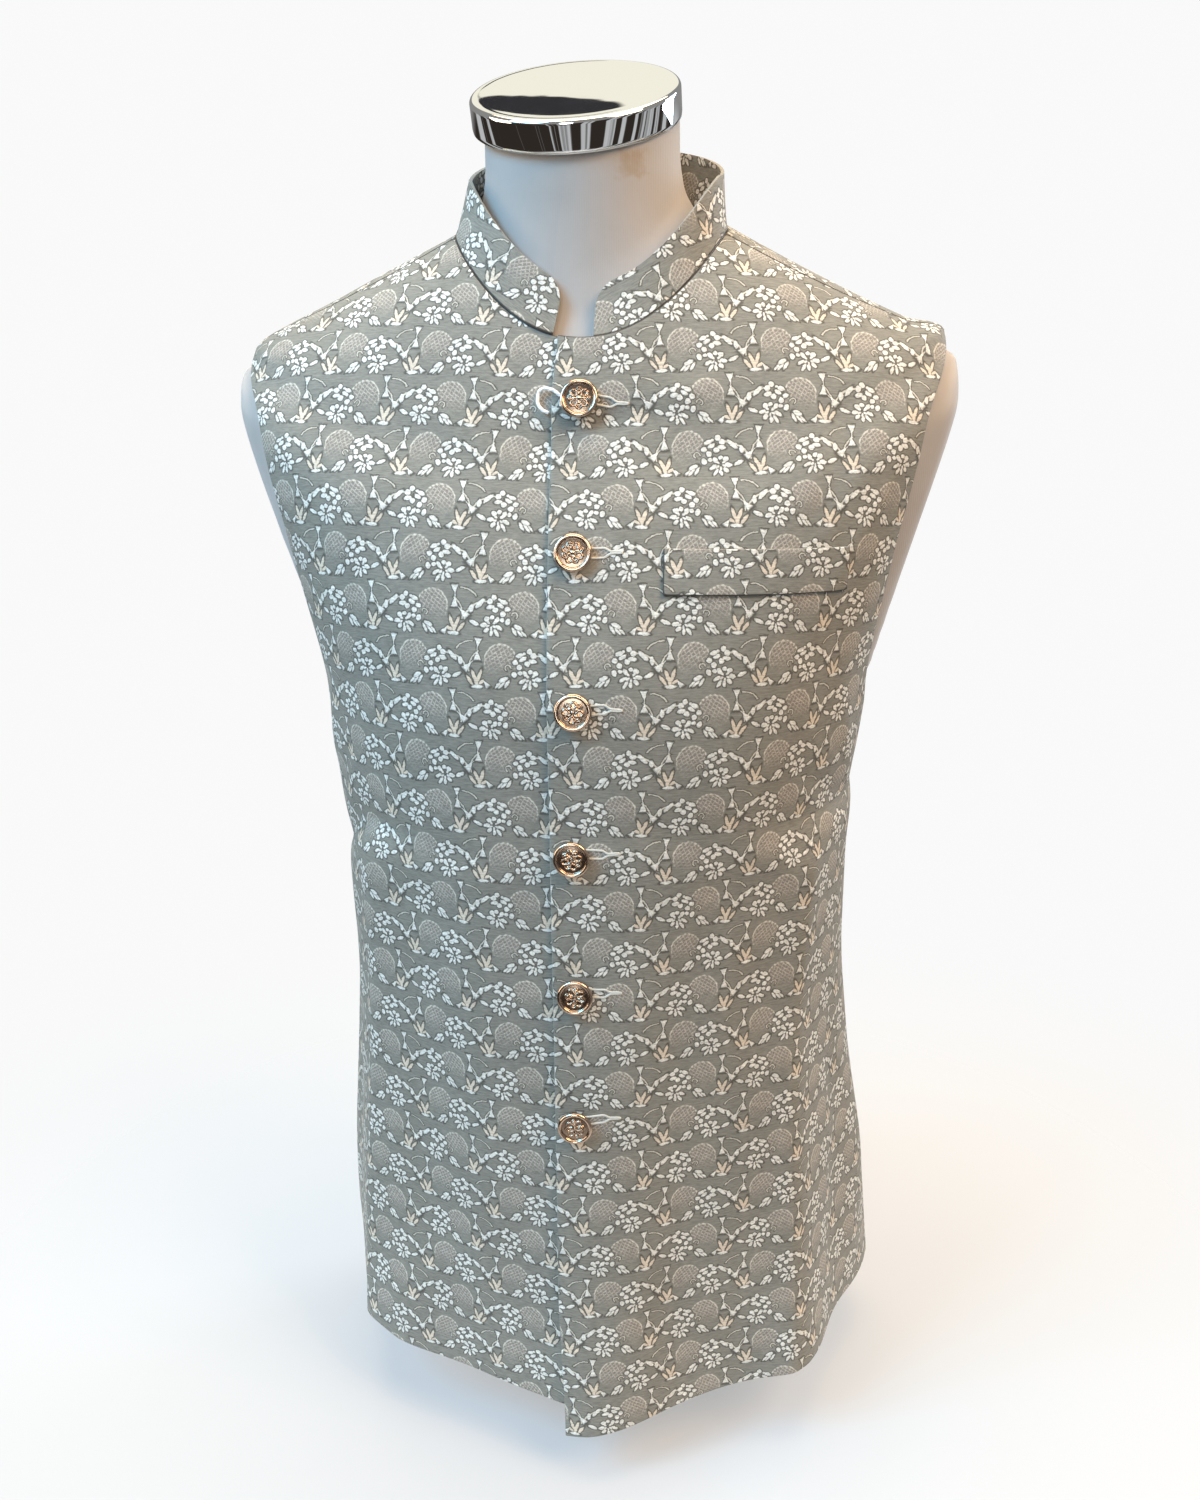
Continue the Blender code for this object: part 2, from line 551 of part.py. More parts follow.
def build_loop(thread, collection):
    """The cord loop that comes from behind the top button, round the front edge and back to it."""
    place, normal, down = frame_on_front(BUTTON_LINE, FIRST_BUTTON)
    knots = []
    for knot in LOOP_ROUTE:
        point = frame_on_front(knot.x, FIRST_BUTTON + knot.drop)[0] + normal * knot.stand
        knots.append(point)
    knots = np.array(knots)
    along = np.concatenate([[0], np.cumsum(np.linalg.norm(np.diff(knots, axis=0), axis=1))])
    points = smooth(along, knots, np.linspace(0, along[-1], 16))
    curve = bpy.data.curves.new("cord_loop", "CURVE")
    curve.dimensions = "3D"
    curve.bevel_depth = LOOP_THICK / 2 * MM
    curve.bevel_resolution = 2
    curve.use_fill_caps = True
    spline = curve.splines.new("POLY")
    spline.points.add(len(points) - 1)
    for target, point in zip(spline.points, points * MM):
        target.co = (*point, 1)
    item = bpy.data.objects.new("cord_loop", curve)
    collection.objects.link(item)
    curve.materials.append(thread)


def main():
    for item in list(bpy.data.objects):
        bpy.data.objects.remove(item, do_unlink=True)
    collection = bpy.data.collections.new("nehru_jacket")
    bpy.context.scene.collection.children.link(collection)
    cloth = make_material("jacquard", (0.22, 0.24, 0.22), 0.75)
    fabric = make_material("form_fabric", (0.78, 0.78, 0.80), 0.85)
    chrome = make_material("chrome", (0.75, 0.75, 0.76), 0.08, 1.0)
    brass = make_material("antique_brass", (0.42, 0.25, 0.12), 0.35, 1.0)
    thread = make_material("white_thread", (0.85, 0.85, 0.83), 0.8)
    build_panels(cloth, collection)
    build_collar(cloth, collection)
    build_welt(cloth, collection)
    build_buttons(brass, collection)
    build_form(fabric, collection)
    build_cap(chrome, collection)
    build_loop(thread, collection)


main()
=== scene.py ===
import math

import bmesh
import bpy
import numpy as np
from mathutils import Matrix, Vector


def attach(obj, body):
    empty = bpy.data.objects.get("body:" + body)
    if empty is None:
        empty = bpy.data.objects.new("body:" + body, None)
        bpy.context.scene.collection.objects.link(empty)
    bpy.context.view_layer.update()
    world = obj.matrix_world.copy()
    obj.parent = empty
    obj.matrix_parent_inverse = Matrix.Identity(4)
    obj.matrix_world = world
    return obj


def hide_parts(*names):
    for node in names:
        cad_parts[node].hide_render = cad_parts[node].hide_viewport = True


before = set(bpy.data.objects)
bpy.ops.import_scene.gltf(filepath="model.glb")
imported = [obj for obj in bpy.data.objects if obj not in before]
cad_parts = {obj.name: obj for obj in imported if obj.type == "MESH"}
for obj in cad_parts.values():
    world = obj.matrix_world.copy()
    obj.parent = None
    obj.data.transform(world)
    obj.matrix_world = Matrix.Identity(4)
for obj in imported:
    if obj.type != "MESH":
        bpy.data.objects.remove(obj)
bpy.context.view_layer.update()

mm = 0.001          # the tables below are in millimetres, with the jacket's heights counted from its hem line
print("frame loaded")

# camera

cameraView = {"target": (0.0013, 0, 0.4425), "distance": 0.898, "azimuth": 5.4, "pitch": 18.0, "roll": 0.68,
              "lens": 33.98, "sensor": 36}      # metres, degrees, and millimetres for the last two


def placeCamera(view):
    # stands back from the target along a direction turned by azimuth and pitch, then rolls about it
    azimuth, pitch, roll = (math.radians(view[key]) for key in ("azimuth", "pitch", "roll"))
    ahead = Vector((-math.sin(azimuth) * math.cos(pitch), math.cos(azimuth) * math.cos(pitch),
                    -math.sin(pitch)))
    level = Vector((math.cos(azimuth), math.sin(azimuth), 0))
    rise = level.cross(ahead)
    side = level * math.cos(roll) - rise * math.sin(roll)
    top = level * math.sin(roll) + rise * math.cos(roll)
    data = bpy.data.cameras.new("camera")
    data.sensor_fit = "VERTICAL"
    data.sensor_height = view["sensor"]
    data.lens = view["lens"]
    data.clip_start = 0.01
    data.clip_end = 50
    camera = bpy.data.objects.new("camera", data)
    bpy.context.scene.collection.objects.link(camera)
    turned = Matrix((side, top, -ahead)).transposed().to_4x4()
    camera.matrix_world = Matrix.Translation(Vector(view["target"]) - ahead * view["distance"]) @ turned
    bpy.context.scene.camera = camera


placeCamera(cameraView)
print("camera placed")

# the jacket's form: level sections, joined smoothly

jacket = {
    "hemHeight": 30.0,          # the level hem line above the floor
    "cloth": 2.0,               # wall of the lined and fused cloth
    "seam": 0.10,               # gap along a seam
    "buttonLine": -2.5,
    "overlapEdge": -15.5, "underlapEdge": 14.0,
    "layerLift": 1.4, "hemSpread": 1.3,
    "sideSeam": 94.0, "hemCorner": 135.0,
    "topHem": (2, 27, 21), "underHem": (21, 28, 24), "backHem": (18, 18, 23),   # edge, corner, side
    "rightFlat": 0.3, "shoulderLift": 7.0, "pitRow": 4.75, "tipRow": 7.0,
    # row; height at front, side, back; half width; depth to the front; where it is widest; depth to the
    # back; squareness; shift; how far its front faces and its sides lie in; how the height runs at the back
    "sections": (
        (0, 0, 0, 0, 187, 141, 30, 121, 2.1, 4, 15, 15, 2),
        (1, 110, 110, 110, 181, 133.5, 22, 118, 2.0, 1, 7, 9, 2),
        (2, 220, 220, 220, 168, 128.5, 9, 116, 2.0, -1.5, 2, 3, 2),
        (3, 300, 300, 300, 162, 127, 5, 111, 2.05, -2, 0, 0, 2),
        (4, 380, 380, 380, 162, 126, 2, 112, 2.15, -2, 0, 0, 2),
        (5, 465, 465, 465, 166, 125, 0, 117, 2.25, 0, 0, 0, 2),
        (6, 563, 629, 600, 208, 102.5, 0, 117, 2.05, 0, 0, 0, 2),
        (7, 609, 660, 660, 200, 82, 3, 101, 1.95, 0, 0, 0, 2),
        (7.5, 640, 689, 704, 144, 72.5, 1, 81, 2.05, 0, 0, 0, 1.5),
        (8, 666, 721, 740, 77, 62.5, 0, 60, 2.15, 0, 0, 0, 1.1),
    ),
    # row and angle of the armhole's edges and of the shoulder seam
    "frontArmhole": (
        (4.75, 94), (4.80, 88.5), (4.95, 81), (5.15, 74.5), (5.35, 69.5), (5.6, 65), (5.9, 63.5), (6.2, 66.5),
        (6.5, 73), (6.76, 80), (7, 86.5)),
    "backArmhole": (
        (4.75, 94), (4.80, 98.5), (4.95, 103.5), (5.15, 108), (5.35, 111), (5.6, 113), (5.9, 113.5),
        (6.2, 112), (6.5, 107.5), (6.76, 100), (7, 86.5)),
    "shoulderSeam": ((7, 86.5), (7.35, 80.5), (7.7, 77), (8, 79)),
}

folds = (           # upright folds of the skirt: angle at the top and hem, top height, how proud, how wide
    (54, 41.5, 388, 11, 25),
    (-50, -57, 384, 11, 25),
    (133, 137, 372, 6, 34),
    (-134, -138, 376, 6, 34),
)
waistCreases = (    # middle angle, reach, height, drop towards the sides, depth
    (66, 26, 397, 0.0, 5.0),
    (-62, 24, 392, 1.1, 5.0),
    (8, 44, 402, 0.0, 1.3),
    (180, 62, 388, 0.0, 2.5),
)
softCreases = (     # angle and height of the middle, tilt, half length, half width, rise (- is a trough)
    (-38, 388, 6, 62, 9, -1.6), (-30, 372, 2, 48, 12, 1.3), (34, 392, -14, 46, 8, -1.3),
    (44, 376, -20, 40, 9, 1.4), (60, 412, -38, 34, 7, -1.6), (70, 436, -52, 40, 8, 1.5),
    (-66, 414, 42, 34, 7, -1.5), (-74, 440, 55, 40, 8, 1.4), (6, 622, 28, 28, 7.5, -3.4),
    (16, 632, 12, 30, 7, 2.0), (20, 604, -8, 28, 6, -0.8), (-20, 612, -30, 34, 8, 1.0),
    (-32, 560, 62, 40, 9, -0.8), (40, 596, 62, 34, 7, -1.2), (50, 560, 76, 46, 7, 1.2),
    (-52, 540, -70, 52, 8, 1.2), (-44, 520, -66, 46, 9, -0.9), (54, 500, 84, 52, 9, -1.2),
    (24, 300, 84, 90, 14, -1.0), (33, 210, 88, 110, 13, 1.1), (19, 120, 90, 84, 12, -1.0),
    (70, 150, 88, 100, 12, -2.2), (82, 90, 86, 92, 13, 2.2), (-22, 250, 92, 110, 15, 1.0),
    (-34, 150, 94, 96, 12, -1.3), (-74, 170, 92, 110, 13, -2.0), (-86, 90, 88, 84, 12, 2.0),
    (-14, 90, 90, 70, 12, -0.9), (10, 60, 90, 52, 12, 0.9), (120, 420, 40, 44, 9, -1.6),
    (128, 440, 50, 40, 8, 1.4), (-122, 424, -42, 44, 9, -1.6), (-130, 446, -50, 42, 8, 1.4),
    (160, 396, 8, 56, 10, -1.5), (-164, 404, -6, 60, 10, -1.4), (176, 372, 0, 70, 13, 1.3),
    (150, 220, 90, 110, 15, 1.8), (166, 130, 88, 100, 15, -1.6), (-172, 200, 90, 120, 15, 1.5),
    (-152, 130, 90, 96, 14, -1.8), (112, 150, 88, 100, 13, -2.0), (-112, 160, 90, 104, 13, -2.0),
    (150, 560, -24, 50, 10, 1.2), (-150, 556, 24, 50, 10, 1.2), (180, 640, 0, 60, 9, -1.0),
)


def slopesOf(rows, values):
    # each slope is the harmonic mean of its neighbours', or level at a peak, so the curve never overshoots
    step = np.diff(rows)[:, None]
    rise = np.diff(values, axis=0) / step
    result = np.zeros_like(values)
    result[0], result[-1] = rise[0], rise[-1]
    before, after = rise[:-1], rise[1:]
    same = before * after > 0
    w1, w2 = 2 * step[1:] + step[:-1], step[1:] + 2 * step[:-1]
    mean = (w1 + w2) / (w1 / np.where(same, before, 1) + w2 / np.where(same, after, 1))
    result[1:-1] = np.where(same, mean, 0)
    return result


def smooth(rows, values, at):
    # a cubic through the values with those slopes, read at other rows
    rows, values, at = np.asarray(rows, float), np.asarray(values, float), np.asarray(at, float)
    if values.ndim == 1:
        return smooth(rows, values[:, None], at)[..., 0]
    slope = slopesOf(rows, values)
    i = np.clip(np.searchsorted(rows, at, side="right") - 1, 0, len(rows) - 2)
    step = (rows[i + 1] - rows[i])[..., None]
    u = (at - rows[i])[..., None] / step
    return ((2 * u**3 - 3 * u**2 + 1) * values[i] + (u**3 - 2 * u**2 + u) * step * slope[i]
            + (3 * u**2 - 2 * u**3) * values[i + 1] + (u**3 - u**2) * step * slope[i + 1])


def ramp(value, start, end):
    # 0 before start, 1 after end, and a smooth step between
    u = np.clip((value - start) / (end - start), 0, 1)
    return u * u * (3 - 2 * u)


def ringPoint(zFront, zSide, zBack, width, front, sideY, back, square, angle, run=2.0):
    # a squared ellipse: sine and cosine to a power, its height running from the side to front and back
    across, along = np.sin(angle), np.cos(angle)
    power = 2 / square
    x = width * np.sign(across) * np.abs(across) ** power
    y = sideY + np.where(along > 0, -(front + sideY), back - sideY) * np.abs(along) ** power
    share = np.abs(along) ** np.where(along > 0, 2, run)
    return np.stack([x, y, zSide + np.where(along > 0, zFront - zSide, zBack - zSide) * share], axis=-1)


def sectionsAt(row):
    table = np.array(jacket["sections"], float)
    return np.moveaxis(smooth(table[:, 0], table[:, 1:], row), -1, 0)


def turnFrom(angle, middle):
    return (np.degrees(angle) - middle + 180) % 360 - 180      # degrees from a middle, the short way round


def plainPoint(row, angle):
    # the ring of a row at an angle, with its front faces and sides flattened
    row, angle = np.broadcast_arrays(np.asarray(row, float), np.asarray(angle, float))
    *ring, shift, flat, slab, run = sectionsAt(row)
    point = ringPoint(*ring, angle, run)
    turn = np.abs(turnFrom(angle, 0))
    point[..., 1] += flat * np.sin(math.pi * np.clip(turn / 46, 0, 1)) ** 1.4
    slab = slab * np.where(point[..., 0] < 0, jacket["rightFlat"], 1)
    slab = slab * np.sin(math.pi * np.clip((turn - 44) / 52, 0, 1)) ** 2
    point[..., 0] += shift - slab * np.sign(point[..., 0])
    point[..., 2] += jacket["shoulderLift"] * ramp(point[..., 0], 176, 203) * ramp(row, 6, 7)
    return point


def outward(row, angle):
    # the unit normal of that form, from small steps along and up it
    along = plainPoint(row, angle + 1e-3) - plainPoint(row, angle - 1e-3)
    up = plainPoint(np.minimum(row + 1e-3, 8), angle) - plainPoint(np.maximum(row - 1e-3, 0), angle)
    normal = np.cross(along, up)
    return normal / np.linalg.norm(normal, axis=-1, keepdims=True)


def foldHeight(point, angle):
    # how far the folds, the waist creases and the soft creases move the cloth out
    z = point[..., 2]
    radius = np.hypot(150 * np.cos(angle), 120 * np.sin(angle))
    total = np.zeros_like(z)
    for topAngle, lowAngle, topZ, height, width in folds:
        middle = lowAngle + (topAngle - lowAngle) * np.clip(z / topZ, 0, 1)
        away = np.radians(turnFrom(angle, middle)) * radius
        peak = np.exp(-(np.sqrt(away**2 + 16) - 4) / width)
        broad = 0.6 * np.exp(-(away / (2.8 * width)) ** 2)
        total += height * (peak - broad) * ramp(-z, -topZ - 6, -topZ + 26)
    for middleAngle, reach, height, drop, depth in waistCreases:
        above = z - height + drop * np.clip(np.abs(turnFrom(angle, 0)) - 50, 0, 40)
        notch = np.where(above > 0, np.exp(-np.abs(above) / 36), np.exp(-np.abs(above) / 7))
        total -= depth * notch * np.exp(-(turnFrom(angle, middleAngle) / reach) ** 4)
    for middleAngle, height, tilt, length, width, rise in softCreases:
        across = np.radians(turnFrom(angle, middleAngle)) * radius
        up = z - height
        c, s = math.cos(math.radians(tilt)), math.sin(math.radians(tilt))
        along, aside = across * c + up * s, up * c - across * s
        bend = aside + 5 * np.sin(along / 27 + middleAngle)      # none of them runs quite straight
        total += rise * np.exp(-(bend / width) ** 2 - (np.abs(along) / length) ** 3)
    return total


def clothPoint(row, angle, layer=0):
    # the outer face: the form, its folds moved out, one front on the other, and the hem's own line
    row, angle = np.broadcast_arrays(np.asarray(row, float), np.asarray(angle, float))
    point = plainPoint(row, angle)
    x = point[..., 0]
    lift = foldHeight(point, angle)
    apart = jacket["layerLift"] + jacket["hemSpread"] * np.clip(1 - row / 3, 0, 1)
    edge, corner, side = jacket[("backHem", "topHem", "underHem")[layer]]
    share = np.clip(np.abs(x) / jacket["hemCorner"], 0, 1)
    if layer > 0:
        start = jacket["overlapEdge"]
        share = np.clip((x - start) / (jacket["hemCorner"] - start), 0, 1)
        lift = lift + apart * (1 - ramp(x, 18, 60))
    elif layer < 0:
        lift = lift - apart * ramp(x, -60, -20)
    turn = np.abs(turnFrom(angle, 0))
    hem = edge + (corner - edge) * share + (side - corner) * ramp(turn, 50, jacket["sideSeam"])
    if layer == 0:
        hem = edge + (side - edge) * np.abs(np.sin(angle)) ** 2
    result = point + outward(row, angle) * lift[..., None]
    result[..., 2] += jacket["hemHeight"] + hem * np.clip(1 - row, 0, 1)
    return result


def angleAt(row, x):
    # the front angle where the form is x to the side of its middle
    columns = sectionsAt(row)
    x = x - columns[8]
    return np.sign(x) * np.arcsin((np.abs(x) / columns[3]) ** (columns[7] / 2))


def rowAt(z, angle):
    rows = np.linspace(1, 8, 1401)
    return np.interp(z, plainPoint(rows, angle)[:, 2], rows)


def sideEdge(rows, armhole):
    # a panel's outer edge: side seam, armhole, then shoulder seam
    rows = np.asarray(rows, float)
    armRows, armAngles = np.array(armhole, float).T
    topRows, topAngles = np.array(jacket["shoulderSeam"], float).T
    arm = smooth(armRows, armAngles, np.clip(rows, jacket["pitRow"], jacket["tipRow"]))
    top = smooth(topRows, topAngles, np.clip(rows, jacket["tipRow"], 8))
    low = np.where(rows <= jacket["pitRow"], jacket["sideSeam"], arm)
    return np.radians(np.where(rows >= jacket["tipRow"], top, low))


def seamShift(rows, edge):
    # the angle that half a seam gap takes up at an edge
    span = np.linalg.norm(clothPoint(rows, edge + 1e-3) - clothPoint(rows, edge - 1e-3), axis=-1) / 2e-3
    return jacket["seam"] / 2 / span


def frontEdge(rows, x):
    # the angle of a front's free edge, which swings in at the hem and neck
    inward = 3.5 * ramp(-rows, -1.0, 0) + 2.5 * ramp(rows, 7.4, 8)
    return angleAt(rows, x + np.sign(-x) * inward)


def frontSide(rows):
    # a front's outer edge, half a seam gap short of it
    edge = sideEdge(rows, jacket["frontArmhole"])
    return edge - seamShift(rows, edge)


def backSide(rows):
    # the back's outer edge, half a seam gap short of it
    edge = sideEdge(rows, jacket["backArmhole"])
    return edge + seamShift(rows, edge)


def runAlong(path):
    # how far each point of a path lies from its first one
    return np.concatenate([[0], np.cumsum(np.linalg.norm(np.diff(path, axis=0), axis=1))])


def gridRuns(points):
    # how far each grid point lies along the cloth from the first row, and from the first column
    up = np.cumsum(np.linalg.norm(np.diff(points, axis=0, prepend=points[:1]), axis=2), axis=0)
    across = np.cumsum(np.linalg.norm(np.diff(points, axis=1, prepend=points[:, :1]), axis=2), axis=1)
    return up, across


# mesh helpers

def gridMesh(name, points, uv=None, around=False, capped=False, **values):
    # quads between a grid's rows and columns, placed in millimetres; around joins the last column to the
    # first, capped closes the two ends, and each further value is a number for each point, kept by its name
    rows, columns = points.shape[:2]
    index = np.arange(rows * columns).reshape(rows, columns)
    after = np.roll(index, -1, axis=1) if around else index[:, 1:]
    index0 = index if around else index[:, :-1]
    quads = np.stack([index0[:-1], after[:-1], after[1:], index0[1:]], axis=-1).reshape(-1, 4).tolist()
    if capped:
        quads += [index[0][::-1].tolist(), index[-1].tolist()]
    mesh = bpy.data.meshes.new(name)
    mesh.from_pydata((points.reshape(-1, 3) * mm).tolist(), [], quads)
    if uv is not None:
        corner = np.empty(len(mesh.loops), int)
        mesh.loops.foreach_get("vertex_index", corner)
        mesh.uv_layers.new(name="cloth").data.foreach_set("uv", uv.reshape(-1, 2)[corner].ravel())
    for key, value in values.items():
        field = mesh.attributes.new(key, "FLOAT", "POINT")
        field.data.foreach_set("value", np.asarray(value, float).ravel())
    mesh.update()
    return mesh


def addPiece(name, mesh, material, replaced=(), merge=False, sharpAbove=None):
    # puts a mesh into the scene on the root body; merge joins doubles and turns all faces outwards
    if merge:
        work = bmesh.new()
        work.from_mesh(mesh)
        bmesh.ops.remove_doubles(work, verts=work.verts, dist=2e-6)
        bmesh.ops.recalc_face_normals(work, faces=work.faces)
        work.to_mesh(mesh)
        work.free()
    piece = bpy.data.objects.new(name, mesh)
    bpy.context.scene.collection.objects.link(piece)
    for item in material if isinstance(material, tuple) else (material,):
        mesh.materials.append(item)
    mesh.shade_smooth()
    if sharpAbove is not None:
        mesh.set_sharp_from_angle(angle=math.radians(sharpAbove))
    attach(piece, "root")
    if replaced:
        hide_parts(*replaced)
    return piece


# material helpers

class Nodes:
    # short ways to add a node to a tree; each returns the new node's output
    def __init__(self, tree):
        self.tree = tree

    def add(self, kind, inputs=(), output=0, **settings):
        node = self.tree.nodes.new("ShaderNode" + kind)
        for key, value in settings.items():
            setattr(node, key, value)
        for key, value in (inputs.items() if isinstance(inputs, dict) else enumerate(inputs)):
            if isinstance(value, bpy.types.NodeSocket):
                self.tree.links.new(value, node.inputs[key])
            else:
                node.inputs[key].default_value = value
        return node.outputs[output]

    def calc(self, operation, *values, clamp=False):
        return self.add("Math", values, operation=operation, use_clamp=clamp)

    def vector(self, operation, *values, output=0):
        return self.add("VectorMath", values, output, operation=operation)

    def place(self, vector, at, turn=0.0, size=(1, 1)):
        # moves, turns and shrinks the plane so that a shape's own frame becomes the unit one, and flattens z
        sockets = {"Vector": vector, "Location": (*at, 0), "Rotation": (0, 0, math.radians(turn)),
                   "Scale": (*size, 1e6)}
        return self.add("Mapping", sockets, vector_type="TEXTURE")

    def step(self, value, low, high):
        # 1 below low, 0 above high, smooth between
        sockets = {"Value": value, "From Min": low, "From Max": high, "To Min": 1.0, "To Max": 0.0}
        return self.add("MapRange", sockets, interpolation_type="SMOOTHSTEP")

    def noise(self, vector, scale, detail, roughness=0.5, output=0):
        sockets = {"Vector": vector, "Scale": scale, "Detail": detail, "Roughness": roughness}
        return self.add("TexNoise", sockets, output)

    def bump(self, height, strength, distance):
        return self.add("Bump", {"Strength": strength, "Distance": distance, "Height": height})

    def feed(self, shader, **values):
        # joins outputs to the shader's named sockets
        for socket, value in values.items():
            self.tree.links.new(value, shader.inputs[socket.replace("_", " ")])

    def mix(self, factor, first, second):
        # a Mix node's factor is its socket 0, and its two colours are 6 and 7
        return self.add("Mix", {0: factor, 6: first, 7: second}, 2, data_type="RGBA")


def newMaterial(name, **settings):
    # a material, the writer of its nodes, and its shader with the named sockets set, _ standing for a space
    material = bpy.data.materials.new(name)
    material.use_nodes = True
    shader = material.node_tree.nodes["Principled BSDF"]
    for socket, value in settings.items():
        shader.inputs[socket.replace("_", " ")].default_value = value
    return material, Nodes(material.node_tree), shader


# the figured cloth

figure = {          # the repeat and its shapes, in millimetres from the middle of a bow
    "repeat": 50.6, "rowHeight": 27.95, "rowTop": 6.62, "mirror": 13.6, "cut": 4.0, "ribPitch": 0.56,
    # how much each kind is made longer and wider than its table says
    "fuller": {"petals": (0.99, 1.0), "leaves": (1.12, 1.1), "spikes": (1.2, 1.05), "trumpets": (0.8, 1.0)},
    "petals": (     # x, y, half length, half width, turn
        (21.8, -0.3, 1.5, 1.5, 0), (19.6, -2.5, 1.7, 1.5, 20), (19.9, -5.5, 2.3, 1.2, 10),
        (22.8, -6.9, 1.6, 1.5, 0), (25.3, -4.5, 2.2, 1.1, -28), (27.1, -2.6, 2.2, 1.2, -20),
        (24.7, -1.5, 0.9, 0.8, 0), (29.4, -6.4, 1.6, 1.4, 0), (27.0, -8.9, 1.6, 1.5, 30),
        (26.6, -12.1, 1.3, 1.1, 0), (29.8, -12.9, 1.8, 1.4, 70),
        (18.2, -11.8, 1.6, 1.4, 0), (21.0, -11.0, 1.3, 1.2, 0), (23.9, -12.2, 1.8, 1.2, 60),
        (16.7, -15.1, 2.0, 1.2, 10), (18.2, -17.8, 1.7, 1.1, 38), (21.1, -19.2, 1.7, 0.95, 82),
        (23.8, -19.0, 2.4, 0.9, -55), (25.1, -16.2, 2.2, 1.0, -32),
        (19.2, -13.4, 1.2, 0.7, -40), (22.5, -13.6, 1.2, 0.7, 40), (19.0, -15.6, 1.1, 0.65, 25),
        (22.6, -15.9, 1.2, 0.65, -30), (20.9, -16.9, 1.2, 0.6, 90)),
    "leaves": (
        (11.4, -14.1, 2.5, 1.0, -25), (9.5, -6.6, 2.0, 1.15, 84), (14.2, -3.8, 3.1, 1.1, 45),
        (35.6, -15.8, 2.3, 1.1, -25), (33.6, -18.0, 2.2, 0.75, -58), (36.6, -18.8, 2.2, 0.65, -45),
        (38.7, -18.9, 1.9, 0.6, -45)),
    "trumpets": (   # narrow end, half width at the wide end, length, turn of its axis from upright
        (-0.1, 0.6, 2.5, 5.0, 4), (0.0, -0.7, 2.5, 5.2, 178), (2.9, -6.9, 2.4, 6.0, 225),
        (46.9, -16.4, 1.9, 4.6, 142)),
    "spikes": (
        (-1.6, -14.2, 3.0, 0.95, 108), (1.4, -14.6, 2.9, 1.0, 66), (3.9, -16.9, 2.6, 0.9, 52),
        (-3.0, -17.4, 1.9, 0.8, 150), (0.2, -17.2, 2.0, 1.0, 84)),
    "cup": (-0.4, -20.1, 3.2, 1.0, -3),         # the bar under the spikes
    "stems": (      # middle, half width and height of an arc, its middle direction and half span, thickness
        (18.6, -13.4, 13.0, 11.0, 120, 36, 0.34), (3.2, -3.0, 9.5, 7.2, 58, 34, 0.22),
        (33.3, -9.5, 1.6, 1.5, 60, 120, 0.18), (-9.0, -10.5, 13.6, 12.0, 22, 30, 0.24)),
    "fan": (37.6, -6.2, 9.1, 9.6),              # middle, half width, half height
    "slant": (2.0, 2.7, 0), "cross": (2.5, -1.2, 0), "dots": (2.2, 1.7, 0),     # its hatch and its dots
    "eyes": ((20.8, -14.7, 0.75, 0.75, 0), (23.0, -4.0, 0.6, 0.6, 0)),
}
clothColours = {
    # seam is the colour of the painted shade along the sewn edges
    # shade is the colour of the painted shade round the floats and stems
    "ground": (0.236, 0.226, 0.192, 1), "shade": (0.052, 0.046, 0.036, 1), "seam": (0.030, 0.020, 0.014, 1),
    "white": (0.82, 0.80, 0.735, 1), "dull": (0.62, 0.60, 0.54, 1), "peach": (0.68, 0.58, 0.46, 1),
    "fan": (0.250, 0.226, 0.194, 1), "fanThread": (0.66, 0.60, 0.51, 1), "stem": (0.64, 0.60, 0.51, 1),
}


def paintedSeamShade(n, colour, colours):
    # painted shade along a sewn edge: the colour darkens towards the seam colour within about a millimetre of
    # it, by the distance that each panel keeps as "fromSeam"
    away = n.add("Attribute", output=2, attribute_name="fromSeam")
    return n.mix(n.calc("MULTIPLY", n.step(away, 0.35, 1.0), 0.85), colour, colours["seam"])


